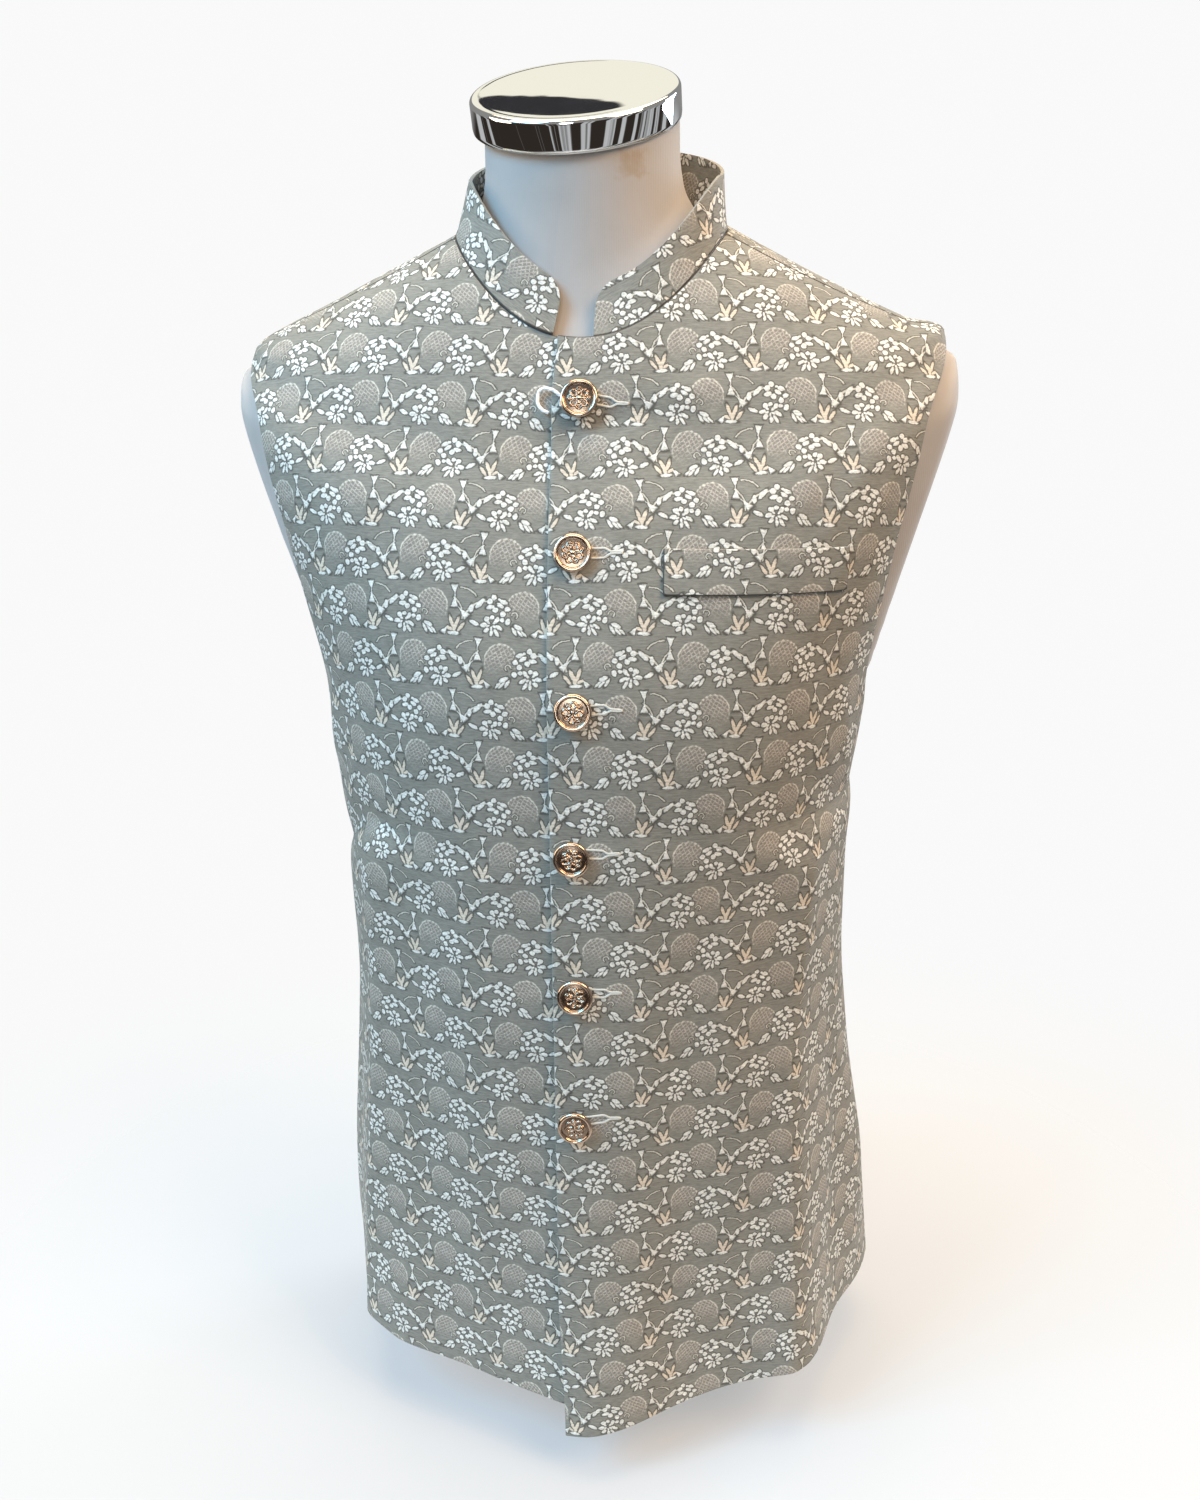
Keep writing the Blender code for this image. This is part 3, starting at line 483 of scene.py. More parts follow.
def figuredCloth(colours):
    # The plane is folded so that every second row of the design is mirrored. Each petal and leaf is the
    # length of its own unit frame less 1; a trumpet is its width less its height; the least of them all is
    # the distance from the figure, and colours are laid over each other by such distances.
    material, n, shader = newMaterial("figuredCloth", Sheen_Weight=0.07, Sheen_Roughness=0.4,
                                      Specular_IOR_Level=0.3)
    flat = n.add("UVMap", uv_map="cloth")
    flat = n.vector("MULTIPLY", flat, (1 / mm, 1 / mm, 1 / mm))
    warp = n.vector("SUBTRACT", n.noise(flat, 0.55, 2.5, 0.65, 1), (0.5, 0.5, 0.5))
    place = n.vector("ADD", flat, n.vector("MULTIPLY", warp, (1.5, 1.5, 1.5)))     # as uneven as threads
    split = n.add("SeparateXYZ", (place,))
    x, y = split, split.node.outputs[1]
    # fold: rows down from the row's top; odd rows are mirrored
    down = n.calc("DIVIDE", n.calc("SUBTRACT", figure["rowTop"], y), figure["rowHeight"])
    count = n.calc("FLOOR", down)
    yRow = n.calc("MULTIPLY_ADD", n.calc("SUBTRACT", down, count), -figure["rowHeight"], figure["rowTop"])
    odd = n.calc("FLOORED_MODULO", count, 2.0)
    xRow = n.calc("MULTIPLY", x, n.calc("MULTIPLY_ADD", odd, -2.0, 1.0))
    xRow = n.calc("ADD", xRow, n.calc("MULTIPLY", odd, figure["mirror"]))
    xRow = n.calc("FLOORED_MODULO", n.calc("ADD", xRow, figure["cut"]), figure["repeat"])
    xRow = n.calc("SUBTRACT", xRow, figure["cut"])
    spot = n.add("CombineXYZ", (xRow, yRow, 0.0))

    def oval(spot, px, py, long, wide, turn):
        length = n.vector("LENGTH", n.place(spot, (px, py), turn, (long, wide)), output=1)
        return n.calc("MULTIPLY_ADD", length, wide, -wide)

    def trumpet(spot, px, py, wide, long, turn):
        part = n.add("SeparateXYZ", (n.place(spot, (px, py), turn, (wide, long)),))
        px, py = n.calc("ABSOLUTE", part), part.node.outputs[1]
        side = n.calc("SUBTRACT", px, n.calc("MAXIMUM", py, 0.12))
        ends = n.calc("MAXIMUM", n.calc("SUBTRACT", py, 1.0), n.calc("MULTIPLY_ADD", py, -1.0, -0.15))
        return n.calc("MULTIPLY", n.calc("MAXIMUM", side, ends), wide)

    def arc(spot, px, py, wide, tall, toward, span, thick):
        local = n.place(spot, (px, py), 0, (wide, tall))
        length = n.vector("LENGTH", local, output=1)
        line = n.calc("ABSOLUTE", n.calc("SUBTRACT", length, 1.0))
        line = n.calc("MULTIPLY_ADD", line, min(wide, tall), -thick)
        direction = (math.cos(math.radians(toward)), math.sin(math.radians(toward)), 0)
        ahead = n.vector("DOT_PRODUCT", n.vector("NORMALIZE", local), direction, output=1)
        beyond = n.calc("MULTIPLY_ADD", ahead, -wide, wide * math.cos(math.radians(span)))
        return n.calc("MAXIMUM", line, beyond)

    def least(shape, rows, result=9.0, operation="MINIMUM", sign=1.0):
        # the running result rides in the place's z, so that the shapes are worked out one after the other
        for row in rows:
            part = shape(n.add("CombineXYZ", (xRow, yRow, result)), *row)
            result = n.calc(operation, part if sign > 0 else n.calc("MULTIPLY", part, sign), result)
        return result

    def fuller(kind):
        long, wide = figure["fuller"][kind]
        return [(px, py, a * long, b * wide, turn) for px, py, a, b, turn in figure[kind]]

    petals = least(oval, fuller("petals"))
    petals = least(oval, figure["eyes"], petals, "MAXIMUM", -1.0)
    white = least(oval, fuller("leaves") + [figure["cup"]], least(trumpet, fuller("trumpets"), petals))
    spikes = least(oval, fuller("spikes"))
    stems = least(arc, figure["stems"], 9.0)
    solid = n.calc("MINIMUM", white, spikes)

    # ground: a fine level rib, with threads a little lighter and darker
    rib = n.calc("SINE", n.calc("MULTIPLY", y, 2 * math.pi / figure["ribPitch"]))
    thread = n.noise(n.vector("MULTIPLY", flat, (0.16, 1.1, 1.0)), 1.0, 3.0, 0.7)
    broad = n.noise(flat, 0.02, 2.0)
    tone = n.calc("ADD", n.calc("MULTIPLY_ADD", rib, 0.07, 0.27), n.calc("MULTIPLY", thread, 1.25))
    tone = n.calc("ADD", tone, n.calc("MULTIPLY_ADD", broad, 0.24, -0.07))
    colour = colours["ground"]
    # the fan: a scalloped patch of slanting threads, plain at its foot, with a dotted outline
    fx, fy, fw, fh = figure["fan"]
    fan = n.place(spot, (fx, fy), 0, (fw, fh))
    fanDistance = n.calc("MULTIPLY_ADD", n.vector("LENGTH", fan, output=1), fw, -fw)
    low = n.step(n.add("SeparateXYZ", (fan,), 1), -0.75, 0.25)
    inside = n.step(fanDistance, -0.6, 0.1)
    patch = n.calc("MULTIPLY", inside, n.calc("SUBTRACT", 1.0, n.calc("MULTIPLY", low, 0.85)))
    patch = n.calc("MULTIPLY", patch, n.step(n.calc("MULTIPLY", solid, -1.0), -0.9, -0.3))
    colour = n.mix(patch, colour, colours["fan"])
    slant = n.calc("SINE", n.vector("DOT_PRODUCT", spot, figure["slant"], output=1))
    cross = n.calc("SINE", n.vector("DOT_PRODUCT", spot, figure["cross"], output=1))
    hatch = n.calc("MAXIMUM", slant, n.calc("MULTIPLY", cross, 0.8))
    broken = n.noise(spot, 0.9, 2.0)
    hatch = n.calc("MULTIPLY", n.step(n.calc("MULTIPLY", hatch, -1.0), -0.98, -0.15), patch)
    hatch = n.calc("MULTIPLY", hatch, n.calc("MULTIPLY_ADD", broken, 2.2, -0.55, clamp=True))
    colour = n.mix(n.calc("MULTIPLY", hatch, 0.85), colour, colours["fanThread"])
    outline = n.step(n.calc("ABSOLUTE", n.calc("ADD", fanDistance, 0.3)), 0.2, 0.62)
    dots = n.calc("SINE", n.vector("DOT_PRODUCT", spot, figure["dots"], output=1))
    outline = n.calc("MULTIPLY", outline, n.calc("MULTIPLY_ADD", dots, 0.45, 0.6))
    outline = n.calc("MULTIPLY", outline, n.calc("SUBTRACT", 1.0, low))
    colour = n.mix(outline, colour, colours["stem"])
    # stems, then painted shade: a dark line round each float and stem, where the raised floats would shade
    # the ground, then the floats themselves
    shade = n.step(n.calc("MINIMUM", stems, solid), 0.25, 0.85)
    colour = n.mix(n.calc("MULTIPLY", shade, 0.75), colour, colours["shade"])
    colour = n.mix(n.calc("MULTIPLY", n.step(stems, -0.1, 0.3), 0.9), colour, colours["stem"])
    colour = n.mix(n.step(spikes, -0.25, 0.2), colour, colours["peach"])
    floats = n.calc("MULTIPLY_ADD", n.noise(place, 0.8, 2.0), 3.0, -1.0, clamp=True)
    lit = n.mix(floats, colours["dull"], colours["white"])
    colour = n.mix(n.step(white, -0.25, 0.2), colour, lit)
    toned = n.vector("SCALE", colour)
    n.tree.links.new(tone, toned.node.inputs["Scale"])
    # relief: floats stand up, ribs and threads between
    raised = n.step(solid, -0.5, 0.4)
    height = n.calc("ADD", n.calc("MULTIPLY", rib, 0.10), n.calc("MULTIPLY", thread, 0.35))
    height = n.calc("ADD", raised, height)
    # the base colour gets the painted shade along the sewn edges
    n.feed(shader, Base_Color=paintedSeamShade(n, toned, colours), Normal=n.bump(height, 0.55, 0.00022),
           Roughness=n.calc("MULTIPLY_ADD", raised, -0.16, 0.68))
    return material


def plainCloth(colours):
    # the ground alone, for turned edges: fine threads on the piece's own place
    material, n, shader = newMaterial("plainEdge", Roughness=0.7, Sheen_Weight=0.2, Sheen_Roughness=0.45)
    noise = n.noise(n.add("TexCoord", output=3), 900.0, 2.0)
    colour = n.mix(noise, [v * 0.75 for v in colours["ground"]], [v * 1.5 for v in colours["ground"]])
    # the base colour gets the painted shade along the sewn edges
    n.feed(shader, Base_Color=paintedSeamShade(n, colour, colours), Normal=n.bump(noise, 0.4, 0.0002))
    return material


jacquard = figuredCloth(clothColours)
jacquardEdge = plainCloth(clothColours)
print("cloth material ready")

# white thread, and the cord loop at the top button

buttons = {         # aside and tilt, in degrees back on the shank, have a value for each button
    "first": 34.3, "gap": 84.2, "radius": 10.3, "stand": 2.6,
    "aside": (2.3, 0.9, 1.6, -0.4, 0.2, -0.9), "tilt": (6, -1, 4, 1, 5, -2),
}
frontNodes = np.linspace(-30, 48, 27)           # upright lines on the top front, by how far aside they are
frontRows = np.broadcast_to(np.linspace(8, 0, 801)[:, None], (801, len(frontNodes)))
frontLines = clothPoint(frontRows, angleAt(frontRows, frontNodes), 1)
frontRuns = gridRuns(frontLines)[0]


def onFront(x, run):
    # places on the top front, x to the side and a run down from the neck seam, read between its upright lines
    x, run = np.broadcast_arrays(np.asarray(x, float), np.asarray(run, float))
    lines = [np.stack([np.interp(run, frontRuns[:, k], frontLines[:, k, c]) for c in range(3)], axis=-1)
             for k in range(len(frontNodes))]
    lines = np.stack(lines, axis=-2)
    at = np.clip((x - frontNodes[0]) / (frontNodes[1] - frontNodes[0]), 0, len(frontNodes) - 1.001)
    i = at.astype(int)
    u = (at - i)[..., None]
    low = np.take_along_axis(lines, i[..., None, None], axis=-2)[..., 0, :]
    high = np.take_along_axis(lines, i[..., None, None] + 1, axis=-2)[..., 0, :]
    return low * (1 - u) + high * u


def frameOnFront(x, run):
    # place, normal and the direction down the cloth
    place, below = onFront(x, run), onFront(x, run + 4)
    down = (below - place) / np.linalg.norm(below - place)
    normal = np.cross(down, [1.0, 0, 0])
    return place, normal / np.linalg.norm(normal), down


def tube(path, radius, sides, twist=None):
    # A round tube along a path: each ring is the path's point, plus cosine and sine times the radius along
    # two directions square to the path, carried from ring to ring. twist adds strands that wind round it.
    ahead = np.gradient(path, axis=0)
    ahead /= np.linalg.norm(ahead, axis=1, keepdims=True)
    side = np.cross(ahead, [0.3, 0.9, 0.2])
    side /= np.linalg.norm(side, axis=1, keepdims=True)
    up = np.cross(ahead, side)
    angle = np.linspace(0, 2 * math.pi, sides, endpoint=False)
    size = np.broadcast_to(np.asarray(radius, float).reshape(-1, 1), (len(path), sides))
    if twist:
        wound = runAlong(path)[:, None] * math.pi * twist["strands"] / twist["pitch"]
        strand = np.abs(np.cos(twist["strands"] / 2 * angle + wound))
        size = size * (1 - twist["depth"] + twist["depth"] * strand)
    ring = side[:, None] * np.cos(angle)[:, None] + up[:, None] * np.sin(angle)[:, None]
    return path[:, None] + size[..., None] * ring


def threadMaterial(name, colour, roughness):
    # soft cotton: a little lighter and darker along the strands
    material, n, shader = newMaterial(name, Roughness=roughness, Sheen_Weight=0.3)
    noise = n.noise(n.add("TexCoord", output=3), 1600.0, 3.0)
    colour = n.mix(noise, [v * 0.8 for v in colour], [min(v * 1.15, 1) for v in colour])
    n.feed(shader, Base_Color=colour, Normal=n.bump(noise, 0.5, 0.0002))
    return material


loop = {
    # the route's x, its drop below the first button and its height above the cloth
    "knots": (
        (-6.8, 0.6, 1.25), (-11.0, -1.4, 1.3), (-15.0, -3.2, 1.7), (-19.0, -3.0, 0.4), (-22.6, 0.6, -0.3),
        (-23.0, 5.4, -0.35), (-20.4, 8.8, -0.4), (-16.9, 9.4, -0.4)),
    "thick": 1.9, "strands": 3, "pitch": 9.0, "depth": 0.22, "colour": (0.97, 0.97, 0.97, 1),
}
whiteThread = threadMaterial("whiteThread", loop["colour"], 0.7)
_, loopNormal, _ = frameOnFront(jacket["buttonLine"], buttons["first"])
knots = [onFront(x, buttons["first"] + drop) + loopNormal * stand for x, drop, stand in loop["knots"]]
knotRuns = runAlong(knots)
loopPath = smooth(knotRuns, knots, np.linspace(0, knotRuns[-1], 120))
loopTube = tube(loopPath, loop["thick"] / 2 * 1.06, 24, loop)      # 1.06 makes up for its hollows
loopPiece = addPiece("cordLoop", gridMesh("cordLoop", loopTube, around=True, capped=True), whiteThread,
                     ["cord_loop"], merge=True)

# the panels

panels = {
    "rowStep": 3.6,             # the grid's spacing up the cloth
    "rows": (0, 0.3, 0.65, 1, 1.4, 1.8, 2.2, 2.6, 3, 3.4, 3.8, 4.03, 4.14, 4.22, 4.32, 4.5, 4.75, 4.8, 4.95,
             5.15, 5.35, 5.6, 5.9, 6.2, 6.5, 6.76, 7, 7.2, 7.4, 7.6, 7.8, 8),
    "edgeRound": 0.75,          # the rolled edges' radius
}


def fineRows():
    # the named rows with even steps between them, each about as long on the cloth as rowStep
    rows = np.array(panels["rows"], float)
    apart = np.diff(runAlong(plainPoint(rows, 0.9)))
    steps = np.maximum(1, np.round(apart / panels["rowStep"])).astype(int)
    parts = [np.linspace(a, b, k, endpoint=False) for a, b, k in zip(rows, rows[1:], steps)]
    return np.concatenate(parts + [[rows[-1]]])


def flatCut(points, grainColumn):
    # The panel's flat cut: a place in the plane for each grid point, found by turns. Each triangle is laid
    # flat and turned to fit best, then all places are solved together to keep every triangle's edges.
    rows, columns = points.shape[:2]
    index = np.arange(rows * columns).reshape(rows, columns)
    a, b, c, d = (part.ravel() for part in (index[:-1, :-1], index[:-1, 1:], index[1:, 1:], index[1:, :-1]))
    triangles = np.concatenate([np.stack([a, b, c], 1), np.stack([a, c, d], 1)])
    p = points.reshape(-1, 3)
    e1 = p[triangles[:, 1]] - p[triangles[:, 0]]
    e2 = p[triangles[:, 2]] - p[triangles[:, 0]]
    long = np.linalg.norm(e1, axis=1)
    flat = np.stack([np.zeros(len(long)) + 0j, long + 0j,
                     (e1 * e2).sum(1) / long + 1j * np.linalg.norm(np.cross(e1, e2), axis=1) / long], axis=1)
    size = rows * columns
    matrix = np.zeros((size, size))
    links = []
    for k in range(3):
        i, j, o = k, (k + 1) % 3, (k + 2) % 3
        u, v = flat[:, i] - flat[:, o], flat[:, j] - flat[:, o]
        weight = 0.5 * (u * v.conj()).real / np.abs((u * v.conj()).imag)
        first, second = triangles[:, i], triangles[:, j]
        for one, other, sign in ((first, first, 1), (second, second, 1), (first, second, -1),
                                 (second, first, -1)):
            np.add.at(matrix, (one, other), sign * weight)
        links.append((first, second, weight, flat[:, i] - flat[:, j]))
    matrix[0, 0] += 1e-3 * np.abs(matrix).max()        # holds one point, since the edges leave the place free
    inverse = np.linalg.inv(matrix)
    upward, across = gridRuns(points)
    place = (across + 1j * upward).ravel()
    for _ in range(60):
        turn = sum(weight * (place[i] - place[j]) * edge.conj() for i, j, weight, edge in links)
        turn /= np.abs(turn)
        right = np.zeros(size, complex)
        for i, j, weight, edge in links:
            np.add.at(right, i, weight * turn * edge)
            np.add.at(right, j, -weight * turn * edge)
        place = inverse @ right
    place = place.reshape(rows, columns)
    grain = place[int(rows * 0.55), grainColumn] - place[int(rows * 0.1), grainColumn]
    place = place * (1j * abs(grain) / grain)
    return place - place[int(rows * 0.3), grainColumn].real


def runsOf(points, axis):
    # how far each row or column of the grid lies from the first, on average
    steps = np.linalg.norm(np.diff(points, axis=axis), axis=2).mean(axis=1 - axis)
    return np.concatenate([[0], np.cumsum(steps)])


def clothUv(points, phase, grainColumn, rowSteps, columnSteps, drift=(0, 0)):
    # flattens a coarser grid, then reads it smoothly at every point; the grain column, 0 for the first, 1 for
    # the middle and -1 for the last, ends up upright; phase moves the design on the cut, and drift, a share
    # of the height above the hip, is how far the cloth was eased off its grain
    rows = np.unique(np.round(np.linspace(0, points.shape[0] - 1, rowSteps)).astype(int))
    columns = np.unique(np.round(np.linspace(0, points.shape[1] - 1, columnSteps)).astype(int))
    grain = (0, len(columns) // 2, len(columns) - 1)[grainColumn]
    cut = flatCut(points[np.ix_(rows, columns)], grain)
    both = np.stack([cut.real, cut.imag], axis=-1)
    up, across = runsOf(points, 0), runsOf(points, 1)
    tall = smooth(up[rows], both.reshape(len(rows), -1), up).reshape(points.shape[0], -1, 2)
    fine = smooth(across[columns], tall.transpose(1, 0, 2).reshape(len(columns), -1), across)
    fine = fine.reshape(points.shape[1], points.shape[0], 2).transpose(1, 0, 2)
    size = np.ptp(both.reshape(-1, 2), axis=0) * mm
    return (fine + np.array(phase) + np.array(drift) * (fine[..., 1:] - 250)) * mm, size


def seamAway(points, sewn):
    # for each point, how far it lies on the cloth from a sewn edge, at most 9; sewn names the edges, each
    # with True or with a truth for each row
    up, across = gridRuns(points)
    away = {"foot": up, "top": up[-1:] - up, "first": across, "last": across[:, -1:] - across}
    result = np.full(up.shape, 9.0)
    for key, where in sewn.items():
        result = np.where(np.reshape(where, (-1, 1)), np.minimum(result, away[key]), result)
    return result


def areaOf(points):
    # the sum of the grid's parallelograms, in square metres
    e1, e2 = np.diff(points, axis=1)[:-1], np.diff(points, axis=0)[:, :-1]
    return np.linalg.norm(np.cross(e1, e2), axis=2).sum() * mm * mm


def finishCloth(piece, thickness):
    # cloth: a wall inside the outer face, and rounded edges
    wall = piece.modifiers.new("wall", "SOLIDIFY")
    wall.thickness = thickness * mm
    wall.offset = -1
    wall.use_rim = True
    wall.material_offset_rim = 1
    edge = piece.modifiers.new("edge", "BEVEL")
    edge.width = panels["edgeRound"] * mm
    edge.segments = 2
    edge.limit_method = "ANGLE"
    edge.angle_limit = math.radians(50)
    return piece


def addPanel(name, node, start, end, columns, layer, phase, drift, grainColumn, sides):
    # rows from hem to neck, each spread evenly between the panel's two edges, which are smoothed inside it
    rows = fineRows()
    share = np.linspace(0, 1, columns + 1)
    steady = [sum(edge(np.clip(rows + step, 0, 8)) for step in (-0.5, -0.25, 0, 0.25, 0.5)) / 5
              for edge in (start, end)]
    angle = steady[0][:, None] + (steady[1] - steady[0])[:, None] * share
    angle = angle + (start(rows) - steady[0])[:, None] * (1 - share) ** 4
    angle = angle + (end(rows) - steady[1])[:, None] * share ** 4
    points = clothPoint(rows[:, None], angle, layer)
    uv, size = clothUv(points, phase, grainColumn, 62, 22, drift)
    area = areaOf(points)
    joined = (rows < jacket["pitRow"]) | (rows > jacket["tipRow"] - 0.01)      # side seam and shoulder seam
    away = seamAway(points, {"top": True, **{side: joined for side in sides}})
    mesh = gridMesh(name, points, uv, fromSeam=away)
    piece = addPiece(name, mesh, (jacquard, jacquardEdge), [node])
    finishCloth(piece, jacket["cloth"])
    float(min(area, size.prod()))
    print(name, "cut, mm:", np.round(size * 1000), "area", round(area, 3))


addPanel("frontLeft", "front_left", lambda rows: frontEdge(rows, jacket["overlapEdge"]), frontSide,
         columns=76, layer=1, phase=(-0.2, -26.0), drift=(0.013, -0.0098), grainColumn=0, sides=["last"])
addPanel("frontRight", "front_right", lambda rows: -frontSide(rows),
         lambda rows: frontEdge(rows, jacket["underlapEdge"]),
         columns=76, layer=-1, phase=(-18.2, -2.7), drift=(-0.0092, -0.0092), grainColumn=-1, sides=["first"])
addPanel("backPanel", "back", backSide, lambda rows: 2 * math.pi - backSide(rows),
         columns=120, layer=0, phase=(0, -26.0), drift=(0, 0), grainColumn=1, sides=["first", "last"])

# the collar

collar = {
    "width": 29.5, "gap": 0.25, "corner": 13.0,       # the radius of its rounded ends
    "lean": (11.5, 5.5, -3),                          # inwards at the front, the sides and the back
    "sway": 2.5,                                      # its top's shift to the side
    "ends": (6.2, -15.8), "phase": (-7.2, -40.8),
}


def addCollar(shape):
    # a band on the neck seam: each column rises by the band's width, leaning in, less the rounded ends' cut
    first = angleAt(np.array(8.0), np.array(shape["ends"][0]))
    last = 2 * math.pi + angleAt(np.array(8.0), np.array(shape["ends"][1]))
    seam = clothPoint(8, first + (last - first) * np.linspace(0, 1, 401))
    run = runAlong(seam)
    corner = shape["corner"]
    close = corner * (1 - np.cos(np.linspace(0, math.pi / 2, 12)))
    at = np.concatenate([close, np.linspace(corner, run[-1] - corner, 150)[1:-1], run[-1] - close[::-1]])
    foot = np.stack([np.interp(at, run, seam[:, k]) for k in range(3)], axis=1)
    inside = np.minimum(at, run[-1] - at)
    cut = corner - np.sqrt(corner**2 - np.clip(corner - inside, 0, corner) ** 2)
    toward = -foot[:, :2] / np.linalg.norm(foot[:, :2], axis=1)[:, None]
    lean = np.interp(-toward[:, 1], (-1, 0, 1), shape["lean"])
    levels = np.linspace(0, 1, 16)[:, None] * (1 - cut / shape["width"])
    points = np.repeat(foot[None], len(levels), axis=0)
    points[..., :2] += toward * (lean * levels ** 0.8)[..., None]
    points[..., 0] += shape["sway"] * levels
    points[..., 2] += levels * np.sqrt(shape["width"] ** 2 - lean**2) + shape["gap"]
    uv, size = clothUv(points, shape["phase"], 1, 8, 60)
    away = seamAway(points, {"foot": True})
    mesh = gridMesh("collarBand", points, uv, fromSeam=away)
    piece = addPiece("collarBand", mesh, (jacquard, jacquardEdge), ["collar"])
    finishCloth(piece, jacket["cloth"])
    float(min(areaOf(points), size.prod()))
    print("collar cut, mm:", np.round(size * 1000))


addCollar(collar)

# the breast pocket's welt

welt = {
    "left": 46.0, "right": 144.5, "bottom": 535.0, "top": 559.0, "rise": -2.0, "thick": 1.6, "gap": 0.35,
    "phase": (9.8, -2.2),
}


def addWelt(shape):
    # the front's own points over a band of heights, found by turns, moved out by the gap and the thickness
    across = np.linspace(shape["left"], shape["right"], 40)
    z = shape["bottom"] + (shape["top"] - shape["bottom"]) * np.linspace(0, 1, 12)[:, None]
    z = z + shape["rise"] * (across - shape["left"]) / (shape["right"] - shape["left"])
    row, angle = np.full(z.shape, 5.6), np.zeros(z.shape)
    wide = np.broadcast_to(across, z.shape)
    for _ in range(4):
        angle = angleAt(row, wide)
        row = np.array([[rowAt(h, a) for h, a in zip(*line)] for line in zip(z, angle)])
    points = clothPoint(row, angle, 1) + outward(row, angle) * (shape["gap"] + shape["thick"])
    uv, size = clothUv(points, shape["phase"], 1, 8, 20)
    away = seamAway(points, {"foot": True, "first": True, "last": True})
    mesh = gridMesh("pocketWelt", points, uv, fromSeam=away)
    piece = addPiece("pocketWelt", mesh, (jacquard, jacquardEdge), ["welt_pocket"])
    finishCloth(piece, shape["thick"])
    print("welt cut, mm:", np.round(size * 1000))


addWelt(welt)

# buttonholes

buttonhole = {
    # from the button's middle: where the slit starts, where its sides join, and the end of its bar
    "start": 4.0, "join": 20.5, "end": 26.0,
    "spread": 2.45, "thick": 0.62, "lift": 0.3, "stitch": 0.75, "colour": (0.62, 0.60, 0.53, 1),
    # for each hole, how far it lies above the button's middle, and how far it rises along its length
    "rise": (0.0, 0.6, 0.5, 1.6, 2.0, 3.0), "tilt": (-2.4, -0.3, 0.4, 1.1, -1.0, 1.5),
}
holeThread = threadMaterial("holeThread", buttonhole["colour"], 0.7)


def atHeight(x, z, near):
    # places on the top front, x to the side and at a height z: the run moves down it until the heights agree
    run = np.full(np.shape(x), float(near))
    for _ in range(6):
        run = run + onFront(x, run)[..., 2] - z
    return onFront(x, run)


def addButtonhole(number, aside):
    # a ring of close stitches round a slit: out along one side and back along the other, the sides drawn
    # together where the bar starts, as a tube whose radius swells once for each stitch
    shape = buttonhole
    centre = buttons["first"] + buttons["gap"] * number
    place, normal, _ = frameOnFront(jacket["buttonLine"] + aside, centre)
    t = np.linspace(0, 1, 420)
    x = shape["start"] + (shape["end"] - shape["start"]) * (1 - np.abs(2 * t - 1)) ** 0.92
    taper = ramp(x, shape["join"] - 4.5, shape["join"])
    bar = shape["thick"] * 0.75 * np.sqrt(np.clip((shape["end"] - x) / 2, 0, 1))
    half = shape["spread"] * (1 - taper) + bar * taper
    far = (x - shape["start"]) / (shape["end"] - shape["start"])
    z = place[2] + shape["rise"][number] + shape["tilt"][number] * far + 0.35 * np.sin(x / 4 + number * 2)
    z = z + np.where(t < 0.5, 1, -1) * half
    path = atHeight(jacket["buttonLine"] + aside + x, z, centre) + normal * shape["lift"]
    radius = shape["thick"] * (0.9 + 0.2 * np.abs(np.sin(math.pi * runAlong(path) / shape["stitch"])))
    points = tube(path, radius, 10)
    proud = np.clip((points - path[:, None]) @ normal, 0, None)
    points -= 0.35 * proud[..., None] * normal          # pressed flat
    mesh = gridMesh("buttonhole", points, around=True, capped=True)
    addPiece(f"buttonhole{number + 1}", mesh, holeThread, merge=True)


for number, aside in enumerate(buttons["aside"]):
    addButtonhole(number, aside)
print("buttonholes stitched")

# buttons

ornament = {
    "ground": 1.35, "rise": 0.62, "dome": 0.35, "turn": 0.35,       # turn is from each button to the next
    # the rim and the shank: how far inside the radius, height, polish
    "rim": (
        (2.3, 2.1, 0.35), (2.05, 2.5, 0.8), (1.6, 2.75, 1), (1.1, 2.78, 1), (0.6, 2.6, 1), (0.2, 2.2, 0.9),
        (0, 1.7, 0.8), (0.1, 1.1, 0.6), (0.5, 0.5, 0.4), (1.2, 0.2, 0.3), (6.3, -0.4, 0.2), (7.3, -0.8, 0.2),
        (8.0, -1.4, 0.2), (8.1, -2.2, 0.2), (10.3, -2.2, 0.2)),
    "hollow": (0.30, 0.21, 0.15, 1), "worn": (0.62, 0.45, 0.33, 1),
}


def brassMaterial():
    # copper gold on the high places, dark and duller in the hollows, with fine scratches
    material, n, shader = newMaterial("antiqueBrass", Metallic=1.0)
    relief = n.add("Attribute", output=2, attribute_name="relief")
    noise = n.noise(n.add("TexCoord", output=3), 700.0, 3.0)
    worn = n.calc("ADD", relief, n.calc("MULTIPLY_ADD", noise, 0.5, -0.25), clamp=True)
    n.feed(shader, Base_Color=n.mix(worn, ornament["hollow"], ornament["worn"]),
           Roughness=n.calc("MULTIPLY_ADD", worn, -0.03, 0.19), Normal=n.bump(noise, 0.25, 0.0001))
    return material


def buttonFace(share, angle):
    # height of the ornament, 0 to 1: closed waves round the middle cross each other as four leaves and four
    # scrolls, with a boss in the middle and beads between
    def band(line, width):
        return np.exp(-((share - line) / width) ** 2)
    total = band(0.40 + 0.17 * np.cos(4 * angle), 0.045)
    total = np.maximum(total, band(0.52 - 0.20 * np.cos(4 * angle), 0.045))
    total = np.maximum(total, band(0.66 + 0.07 * np.cos(8 * angle), 0.04) * 0.9)
    total = np.maximum(total, np.exp(-(share / 0.11) ** 2))
    total = np.maximum(total, band(0.30, 0.10) * np.abs(np.cos(2 * angle)) ** 6)
    beads = np.exp(-((share - 0.47) / 0.05) ** 2) * np.abs(np.cos(4 * angle + math.pi / 2)) ** 14
    return np.maximum(total, beads) * ramp(-share, -0.80, -0.72)


